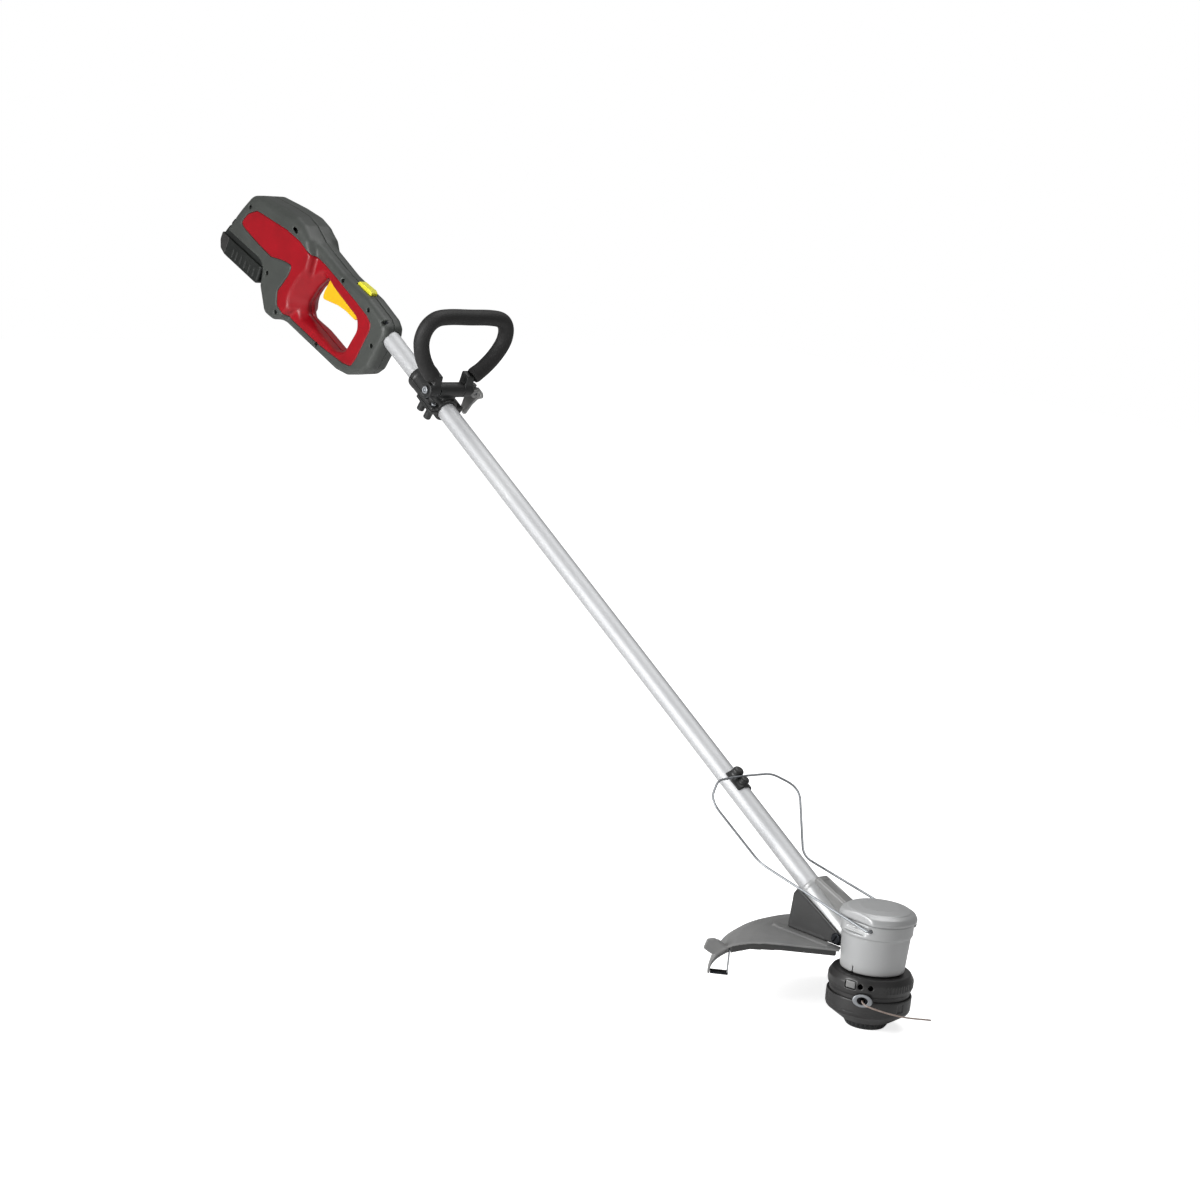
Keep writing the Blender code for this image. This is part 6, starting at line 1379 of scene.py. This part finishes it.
def shield():
    """The dish with its skirt, its two raised bands, its lug, and the lips on its straight edges, whose
    dark grey is painted shade.
    """
    low = (-0.205, -0.166, SHIELD_SKIRT - 0.003)
    x, y, z = space(low, (-0.022, 0.156, SHIELD_TOP + 0.010), SHIELD_CELL)
    around = np.hypot(x, y)
    turn = np.arctan2(y, x) % (2 * math.pi)
    first, last = SHIELD_ANGLES
    share = np.maximum(np.cos(math.pi * (turn - (first + last) / 2) / (last - first)), 0)
    sunk = z - SHIELD_ARCH * np.clip((around - 0.130) / 0.035, 0, 1) * share
    top, rim, wall, skirt = SHIELD_TOP, SHIELD_RADIUS, SHIELD_WALL, SHIELD_SKIRT - SHIELD_ARCH
    profile = [(0.0412, top), (0.110, top), (0.130, top - 0.0005), (0.150, top - 0.0025),
               (0.166, top - 0.0065), (0.178, top - 0.0120), (0.188, top - 0.0200),
               (0.1945, top - 0.0310), (rim, top - 0.042), (rim, skirt), (rim - wall, skirt),
               (rim - wall, top - 0.0415), (0.1918, top - 0.0320), (0.1858, top - 0.0215),
               (0.1764, top - 0.0142), (0.1650, top - 0.0092), (0.1495, top - 0.0053),
               (0.130, top - 0.0033), (0.110, top - wall), (0.0412, top - wall)]
    form = from_outline(profile, around, sunk)
    out_one, off_one = turned_axes(x, y, first)
    out_two, off_two = turned_axes(x, y, last)
    wedge = np.maximum(-off_one, off_two)
    form = np.maximum(both(form, wedge, 0.0006), SHIELD_SKIRT - z)
    band = both(np.abs(np.abs(y) - 0.0290) - 0.0062, np.maximum(-x - 0.1380, x + 0.0460), 0.0030)
    form = either_form(form, both(band, np.abs(sunk - top) - 0.0013, 0.0010), 0.0012)
    lug = [(0.2050, 0.0725), (0.2015, 0.0840), (0.1945, 0.0862), (0.1870, 0.0845), (0.1740, 0.0760),
           (0.1850, 0.0660), (0.1950, 0.0665)]
    lug_edge = from_outline(rounded_outline(lug, 0.0012), out_two, z)
    form = either_form(form, both(lug_edge, np.abs(off_two + 0.0032) - 0.0028, 0.0008), 0.0010)
    form = without(form, np.maximum(np.abs(y) - 0.0190, -x - 0.0635), 0.0004)
    for place in SHIELD_SCREWS:
        form = without(form, np.hypot(x - place, y) - SHIELD_HOLE)
    made = moulding("shield_dish", form, low, SHIELD_CELL)
    finished(made, SHIELD_GREY, "mid_grey_polypropylene", "trimmer", "debris_shield")
    # The lips' dark grey is painted shade, standing in for the shade under the dish's straight edges.
    lip = [(0.045, top - 0.0012), (0.110, top - 0.0012), (0.130, top - 0.0017), (0.150, top - 0.0038),
           (BLADE_RADIUS, top - 0.0095), (BLADE_RADIUS, top - 0.0190), (0.150, top - 0.0120),
           (0.110, top - 0.0090), (0.045, top - 0.0085)]
    lip = rounded_outline(lip, 0.0008)
    near = both(from_outline(lip, out_two, z), np.abs(off_two + 0.0014) - 0.0014, 0.0006)
    far = both(from_outline(lip, out_one, z), np.abs(off_one - 0.0014) - 0.0014, 0.0006)
    made = moulding("shield_lips", np.minimum(near, far), low, SHIELD_CELL)
    finished(made, LIP_PAINTED_SHADE, "dark_grey_polypropylene", "trimmer", "debris_shield")


def line_cutter():
    """A ground blade that hangs below the dish, and the black foot that ties it to the skirt."""
    place = Matrix.Rotation(SHIELD_ANGLES[1], 4, "Z")
    low = (BLADE_RADIUS - 0.002, -0.016, SHIELD_SKIRT - 0.002)
    x, y, z = space(low, (SHIELD_RADIUS, -0.001, SHIELD_TOP - 0.014), FINE_CELL)
    bevel = np.maximum(-0.0120 - y, 0) * 0.35
    rear = BLADE_RADIUS + BLADE_THICKNESS
    blade = block(x, y, z, (BLADE_RADIUS, -0.0140, SHIELD_SKIRT), (rear, -0.0032, SHIELD_TOP - 0.0160),
                  0.0002)
    blade = np.maximum(blade, x - rear + bevel)
    made = moulding("cutter_blade", blade, low, FINE_CELL, place)
    finished(made, ZINC_STEEL, "zinc_plated_steel", "trimmer", "line_cutter_blade")
    foot = block(x, y, z, (BLADE_RADIUS - 0.0004, -0.0142, SHIELD_SKIRT - 0.0002),
                 (SHIELD_RADIUS - SHIELD_WALL - 0.0006, -0.0030, SHIELD_SKIRT + 0.0030), 0.0006)
    made = moulding("cutter_foot", foot, low, FINE_CELL, place)
    finished(made, BLACK_OXIDE, "black_oxide_steel", "trimmer", "line_cutter_blade")


def shield_bracket():
    """Two beaded cheeks beside the neck on a base that is screwed to the shield."""
    low = (BRACKET_REAR - 0.003, -0.023, BRACKET_BASE - 0.002)
    x, y, z = space(low, (-0.035, 0.024, BRACKET_APEX + 0.003), PIECE_CELL)
    inner = NECK_RADIUS + 0.0006
    outline = [(-0.0380, BRACKET_BASE), (-0.0378, BRACKET_APEX - 0.0400), (-0.046, BRACKET_APEX - 0.0345),
               (-0.079, BRACKET_APEX - 0.0175), (-0.116, BRACKET_APEX), (-0.1215, BRACKET_APEX - 0.008),
               (BRACKET_REAR, BRACKET_BASE)]
    edge = from_outline(rounded_outline(outline, 0.0030), x, z)
    form = both(edge, np.abs(np.abs(y) - inner - BRACKET_WALL / 2) - BRACKET_WALL / 2, 0.0007)
    bead = both(np.abs(edge + 0.0012) - 0.0012, np.abs(np.abs(y) - inner - BRACKET_WALL) - 0.0005, 0.0004)
    form = either_form(form, np.maximum(bead, BRACKET_BASE + 0.004 - z), 0.0006)
    base = block(x, y, z, (BRACKET_REAR + 0.0002, -inner - BRACKET_WALL, BRACKET_BASE),
                 (-0.0645, inner + BRACKET_WALL, BRACKET_BASE + BRACKET_WALL), 0.0006)
    rear = block(x, y, z, (BRACKET_REAR + 0.0004, -inner - 0.001, BRACKET_BASE + 0.0005),
                 (BRACKET_REAR + 0.0035, inner + 0.001, BRACKET_BASE + 0.0187), 0.0006)
    form = either_form(form, np.minimum(base, rear), 0.0012)
    for place in SHIELD_SCREWS:
        form = without(form, np.hypot(x - place, y) - SHIELD_HOLE)
    s, _, u = along_shaft(x, y, z)
    form = without(form, np.hypot(s - BRACKET_SCREW[0], u - BRACKET_SCREW[1]) - BRACKET_HOLE)
    made = moulding("shield_bracket_moulded", form, low, PIECE_CELL)
    finished(made, BRACKET_GREY, "dark_grey_polypropylene", "trimmer", "shield_bracket")


def bracket_screws():
    """Two black screws with wide round heads, turned by a coin slot."""
    for word, side in (("right", 1), ("left", -1)):
        s, u = BRACKET_SCREW
        start = NECK_RADIUS + 0.0006 + BRACKET_WALL + GAP
        low = (s - 0.010, min(side * 0.0105, side * 0.026), u - 0.010)
        x, y, z = space(low, (s + 0.010, low[1] + 0.0160, u + 0.010), FINE_CELL)
        head = bar(x, y, z, (s, side * start, u), (s, side * (start + 0.0036), u), 0.0078, 0.0011, 0.0066)
        notch = np.maximum(np.maximum(np.abs(x - s) - 0.0007, start + 0.0022 - side * y),
                           np.abs(z - u) - 0.0055)
        knurl = np.abs((np.arctan2(z - u, x - s) * 12 / math.pi) % 1 - 0.5) * 0.0014
        head = np.maximum(without(head, notch, 0.0003), np.hypot(x - s, z - u) - 0.0079 + knurl)
        shank = bar(x, y, z, (s, side * 0.0115, u), (s, side * (start + 0.001), u), 0.0024, 0.0002)
        made = moulding("bracket_screw", np.minimum(head, shank), low, FINE_CELL, SHAFT)
        finished(made, BLACK_OXIDE, "black_oxide_steel", "trimmer", "bracket_screw_" + word)


SHIELD_GREY = moulded_plastic("moulded_mid_grey_polypropylene", "#707070", "#7c7c7b", 0.46, 0.0018,
                              "#989897", 1.49)
# Painted shade: the lips are coloured dark grey to stand in for the shade under the dish's edges.
LIP_PAINTED_SHADE = moulded_plastic("moulded_grey_polypropylene_lip_painted_shade", "#2f2f2f", "#383837", 0.50, 0.0018,
                           "#565655", 1.47)
BRACKET_GREY = moulded_plastic("moulded_dark_grey_polypropylene", "#2c2c2c", "#363636", 0.46, 0.0016,
                               "#585858", 1.47)
shield()
line_cutter()
shield_bracket()
bracket_screws()


# Switch and cable. A black snap-action switch behind the trigger with its plunger, and the rubber
# cable that runs down the tube to the motor, held by its own stiffness.
SHARP_ANGLE = math.radians(35)
CABLE_RADIUS = 0.0028
CABLE_POINTS = [(0.056, 0, 0), (0.30, 0, 0), (0.70, 0, 0), (1.10, 0, 0), (1.225, 0, 0),
                (1.245, -0.006, 0.0004), (1.268, -0.0115, 0.0006), (1.330, -0.0115, 0.0006),
                (1.385, -0.0115, 0.0006), (1.408, -0.0110, -0.008), (1.424, -0.0100, -0.024),
                (1.4345, -0.0080, -0.0395)]


def dressed(word, finish, slot, body, edge):
    """A copy of a CAD node's mesh with its sharp edges rounded, for plain machined and cut pieces."""
    made = bpy.data.objects.new(word + "_finished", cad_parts[word].data.copy())
    bpy.context.scene.collection.objects.link(made)
    work = bmesh.new()
    work.from_mesh(made.data)
    bmesh.ops.remove_doubles(work, verts=work.verts, dist=1e-6)
    bmesh.ops.dissolve_limit(work, angle_limit=math.radians(1), verts=work.verts, edges=work.edges)
    sharp = [e for e in work.edges if e.is_manifold and e.calc_face_angle(0) > SHARP_ANGLE]
    bmesh.ops.bevel(work, geom=sharp, offset=edge, segments=2, profile=0.5, affect="EDGES",
                    clamp_overlap=True)
    bmesh.ops.triangulate(work, faces=[f for f in work.faces if len(f.verts) > 4])
    work.to_mesh(made.data)
    work.free()
    made.data.shade_smooth()
    made.data.set_sharp_from_angle(angle=SHARP_ANGLE + math.radians(15))
    return finished(made, finish, slot, body, word)


def cable_rubber():
    """Black cable rubber: matt, with faint rings from the extruder and a bloom of grey talc."""
    made, tree, shader, place = new_finish("black_cable_rubber")
    rings = node(tree, "ShaderNodeTexWave", {"Vector": place, "Scale": 160.0, "Distortion": 1.0})
    feed(tree, shader, {"Base Color": tones(tree, noise(tree, place, 90.0, 4.0), "#161616", "#2b2a29"),
                        "Normal": relief(tree, rings.outputs["Fac"], 0.2, 0.0001), "Roughness": 0.62})
    return made


cable_route = smooth_route(CABLE_POINTS[:4], 0.02)[:-1] + smooth_route(CABLE_POINTS[3:], 0.005)
cable = swept("motor_cable_jacket", cable_route, lambda share: CABLE_RADIUS, 16)
finished(placed(cable, SHAFT), cable_rubber(), "black_cable_rubber", "trimmer", "motor_cable")
dressed("trigger_switch", BLACK_NYLON, "black_nylon", "trimmer", 0.0004)


# Electronics. A green glass-epoxy board above the battery bay carries an extruded aluminium heat sink,
# capacitors and chips, and three brass blades in a nylon block reach down into the battery's slots.
BOARD_LEVEL = BAY_CEILING + 0.0095 + 0.0016
CONTACT_LOW = 0.038
CONTACT_HIGH = 0.050
CONTACT_HALF_WIDTH = 0.0004


def circuit_board():
    """Green solder mask over copper tracks: the tracks show as a paler green net."""
    made, tree, shader, place = new_finish("green_circuit_board")
    turn = node(tree, "ShaderNodeMapping", {"Vector": place,
                                            "Rotation": (0.0, SHAFT_ANGLE - BATTERY_TILT, 0.0)})
    tracks = node(tree, "ShaderNodeTexBrick", {"Vector": turn.outputs["Vector"], "Scale": 90.0,
                                               "Mortar Size": 0.04, "Color1": tint("#12502a"),
                                               "Color2": tint("#165c31"), "Mortar": tint("#3a8a4f")})
    feed(tree, shader, {"Base Color": tracks.outputs["Color"], "Roughness": 0.3, "Coat Weight": 0.4})
    return made


def cell_sleeve():
    """Blue shrink sleeve: thin PVC with a soft gloss and faint wrinkles around the cell."""
    made, tree, shader, place = new_finish("blue_shrink_sleeve")
    folds = noise(tree, place, 200.0)
    feed(tree, shader, {"Base Color": tones(tree, folds, "#1d4d8c", "#2a62a8"),
                        "Normal": relief(tree, folds, 0.25, 0.0002), "Roughness": 0.28})
    return made


dressed("control_board", circuit_board(), "green_circuit_board", "trimmer", 0.0002)
dressed("heat_sink", ALUMINIUM, "satin_anodised_aluminium", "trimmer", 0.0002)
capacitor = turned("capacitor", [(0.0, 0.0), (0.0030, 0.0), (0.0032, 0.0006), (0.0028, 0.0010),
                                 (0.0032, 0.0014), (0.0032, 0.0085), (0.0026, 0.0090), (0.0, 0.0088)], 24,
                   closed=False)
spots = [BATTERY @ Vector((x, y, BOARD_LEVEL + 0.0002))
         for x in (-0.024, -0.014) for y in (-0.017, -0.006, 0.005, 0.016)]
capacitors = copied_onto("capacitors", spots, capacitor, BLACK_NYLON, tuple(BATTERY.to_euler()))
finished(capacitors, BLACK_NYLON, "black_nylon", "trimmer")

low = (-0.012, -0.019, 0.032)
x, y, z = space(low, (0.009, 0.020, 0.060), FINE_CELL)
nylon_block = block(x, y, z, (-0.0106, -0.018, 0.033), (-0.0006, 0.018, BAY_CEILING - GAP), 0.0007)
blades = np.minimum.reduce([block(x, y, z, (-0.0050, n * CONTACT_PITCH - CONTACT_HALF_WIDTH, CONTACT_LOW),
                                  (0.0070, n * CONTACT_PITCH + CONTACT_HALF_WIDTH, CONTACT_HIGH), 0.0003)
                            for n in (-1, 0, 1)])
grooves = np.maximum(np.abs(y % CONTACT_PITCH - CONTACT_PITCH / 2) - 0.0006, -0.0016 - x)
nylon_block = without(nylon_block, grooves, 0.0003)
nylon_block = without(nylon_block, blades - 0.0002)
made = moulding("terminal_block_nylon", nylon_block, low, FINE_CELL, BATTERY)
finished(made, BLACK_NYLON, "black_nylon", "trimmer", "battery_terminal_block")
made = moulding("terminal_blades", blades, low, FINE_CELL, BATTERY)
finished(made, ZINC_STEEL, "zinc_plated_steel", "trimmer", "battery_terminal_block")

SLEEVE = cell_sleeve()
cell = turned("cell", [(0.0, 0.0), (0.0078, 0.0), (0.0086, 0.0006), (0.0086, 0.0860), (0.0080, 0.0866),
                       (0.0076, 0.0862), (0.0035, 0.0862), (0.0033, 0.0878), (0.0, 0.0880)], 32,
              closed=False)
seats = [BATTERY @ Vector((0.0095, n * 0.0165, z)) for n in (-1, 0, 1) for z in (0.0149, 0.0315)]
lying = BATTERY @ Matrix.Rotation(math.pi / 2, 4, "Y")
cells = copied_onto("battery_cells", seats, cell, SLEEVE, tuple(lying.to_euler()))
finished(cells, SLEEVE, "blue_cell_sleeve", "battery", "battery_cell_block")


# Motor. An inner-rotor motor: a laminated stator with enamelled windings in the can, and a rotor with
# bonded magnets on a steel shaft that turns in two ball bearings and carries the cutting head.
STATOR_TEETH = 9
STATOR_HEIGHT = 0.094


def copper_wire():
    """Enamelled copper: an orange-brown gloss with the fine lines of the turns side by side."""
    made, tree, shader, place = new_finish("enamelled_copper_wire")
    turns = node(tree, "ShaderNodeTexWave", {"Vector": place, "Scale": 320.0, "Distortion": 2.0},
                 bands_direction="Z").outputs["Fac"]
    feed(tree, shader, {"Base Color": tones(tree, turns, "#7a3416", "#c8743c"),
                        "Normal": relief(tree, turns, 0.6, 0.0003), "Metallic": 0.7, "Roughness": 0.3})
    return made


def stator():
    """A laminated ring with nine teeth, and a coil around each tooth."""
    low = (-0.037, -0.037, 0.079)
    x, y, z = space(low, (0.037, 0.038, 0.109), PIECE_CELL)
    around = np.hypot(x, y)
    aside = repeated(np.arctan2(y, x), 2 * math.pi / STATOR_TEETH) * around
    level = np.abs(z - STATOR_HEIGHT)
    ring = np.maximum(np.abs(around - 0.0337) - 0.0020, level - 0.011)
    tooth = np.maximum(np.maximum(np.abs(aside) - 0.0022, level - 0.0105), np.abs(around - 0.0285) - 0.0058)
    shoe = np.maximum(np.maximum(np.abs(aside) - 0.0068, level - 0.0105), np.abs(around - 0.0232) - 0.0009)
    core = np.minimum(np.minimum(ring, tooth), shoe)
    made = moulding("stator_laminations", core, low, PIECE_CELL)
    finished(made, BLACK_OXIDE, "black_oxide_steel", "trimmer", "stator")
    coil = both(both(np.abs(aside) - 0.0062, level - 0.0138, 0.0030), np.abs(around - 0.0278) - 0.0034,
                0.0012)
    made = moulding("stator_coils", without(coil, tooth - 0.0002), low, PIECE_CELL)
    finished(made, COPPER, "enamelled_copper", "trimmer", "stator")


def bearing(name, floor):
    """Two hardened rings with a recessed shield between them."""
    top, inner, outer = floor + BEARING_HEIGHT, MOTOR_SHAFT_RADIUS + GAP, BEARING_RADIUS
    profile = [(outer, floor + 0.0004), (outer, top - 0.0004), (outer - 0.0004, top),
               (outer - 0.0018, top), (outer - 0.0020, top - 0.0005), (inner + 0.0016, top - 0.0005),
               (inner + 0.0014, top), (inner, top), (inner, floor), (inner + 0.0014, floor),
               (inner + 0.0016, floor + 0.0005), (outer - 0.0020, floor + 0.0005),
               (outer - 0.0018, floor), (outer - 0.0004, floor)]
    finished(turned(name + "_rings", profile, 40), ZINC_STEEL, "zinc_plated_steel", "trimmer", name)


COPPER = copper_wire()
stator()
bearing("lower_bearing", BEARING_LOW + GAP)
bearing("upper_bearing", BEARING_HIGH)
dressed("rotor", BLACK_OXIDE, "black_oxide_steel", "cutting_head", 0.0004)
dressed("motor_shaft", ZINC_STEEL, "zinc_plated_steel", "cutting_head", 0.0004)
dressed("arbor_nut", ZINC_STEEL, "zinc_plated_steel", "cutting_head", 0.0005)
dressed("thrust_washer", ZINC_STEEL, "zinc_plated_steel", "bump_carrier", 0.0002)


# Spool. A nylon spool with the line wound on it in side-by-side turns sits under a steel spring, which
# lets the knob be bumped up so that the spool slips round and feeds line. The spring stands just clear
# of the spool.
SPOOL_RADIUS = 0.0410
SPOOL_HUB_RADIUS = 0.0180
SPOOL_BORE = 0.0143
SPOOL_LOW = 0.0240
SPOOL_HIGH = 0.0450
FLANGE = 0.0022
COIL_RADIUS = SPOOL_RADIUS - 0.0060
LINE_TURNS = 8
SPRING_WIRE = 0.0009
SPRING_RADIUS = 0.0132
SPRING_TURNS = 4
SPRING_STEPS = 160

shaft_room = MOTOR_SHAFT_RADIUS + 0.0006
web = SPOOL_HIGH - 0.004
low = (-0.043, -0.043, SPOOL_LOW - 0.002)
x, y, z = space(low, (0.043, 0.044, SPOOL_HIGH + 0.002), PIECE_CELL)
profile = [(SPOOL_RADIUS, SPOOL_HIGH), (SPOOL_RADIUS, SPOOL_HIGH - FLANGE),
           (SPOOL_HUB_RADIUS, SPOOL_HIGH - FLANGE), (SPOOL_HUB_RADIUS, SPOOL_LOW + FLANGE),
           (SPOOL_RADIUS, SPOOL_LOW + FLANGE), (SPOOL_RADIUS, SPOOL_LOW), (SPOOL_BORE, SPOOL_LOW),
           (SPOOL_BORE, web), (shaft_room, web), (shaft_room, SPOOL_HIGH)]
around = np.hypot(x, y)
form = from_outline(rounded_outline(profile, 0.0005), around, z)
window = both(np.abs(repeated(np.arctan2(y, x), math.pi / 4)) * around - 0.0060,
              np.abs(around - 0.030) - 0.0055, 0.002)
form = without(form, np.maximum(window, 0.035 - z), 0.0003)
made = moulding("spool_moulded", form, low, PIECE_CELL)
finished(made, KNOB_BLACK, "black_nylon", "spool", "spool")

coil_low, coil_high = SPOOL_LOW + FLANGE + GAP, SPOOL_HIGH - FLANGE - GAP
step = (coil_high - coil_low) / LINE_TURNS
wound = []
for number in range(LINE_TURNS):
    middle = coil_low + (number + 0.5) * step
    wound += [(COIL_RADIUS + LINE_RADIUS * math.sin(a), middle - step / 2 * math.cos(a))
              for a in (math.pi * k / 6 for k in range(6))]
wound += [(COIL_RADIUS, coil_high), (SPOOL_HUB_RADIUS + GAP, coil_high), (SPOOL_HUB_RADIUS + GAP, coil_low)]
finished(turned("line_windings", wound, 72), LINE_FINISH, "nylon_cutting_line", "spool", "line_coil")

spring_low = SPOOL_HIGH + SPRING_WIRE + GAP
spring_high = HEAD_TOP - HEAD_WALL - 0.001 - SPRING_WIRE - GAP
spring_route = [Vector((SPRING_RADIUS * math.cos(2 * math.pi * t * SPRING_TURNS),
                        SPRING_RADIUS * math.sin(2 * math.pi * t * SPRING_TURNS),
                        spring_low + (spring_high - spring_low) * t))
                for t in (k / SPRING_STEPS for k in range(SPRING_STEPS + 1))]
spring = swept("bump_spring_coil", spring_route, lambda share: SPRING_WIRE, 12)
finished(spring, ZINC_STEEL, "zinc_plated_steel", "cutting_head", "bump_spring")
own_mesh(spring)

seats = [(place, 0, SHIELD_TOP - SHIELD_WALL - 0.0006) for place in SHIELD_SCREWS]
shield_screws = copied_onto("shield_screws", seats, screw(0.0042, 0.0025, 0.0019, 0.0070), ZINC_STEEL,
                            (math.pi, 0.0, 0.0))
finished(shield_screws, ZINC_STEEL, "zinc_plated_steel", "trimmer", "shield_screw_1", "shield_screw_2")
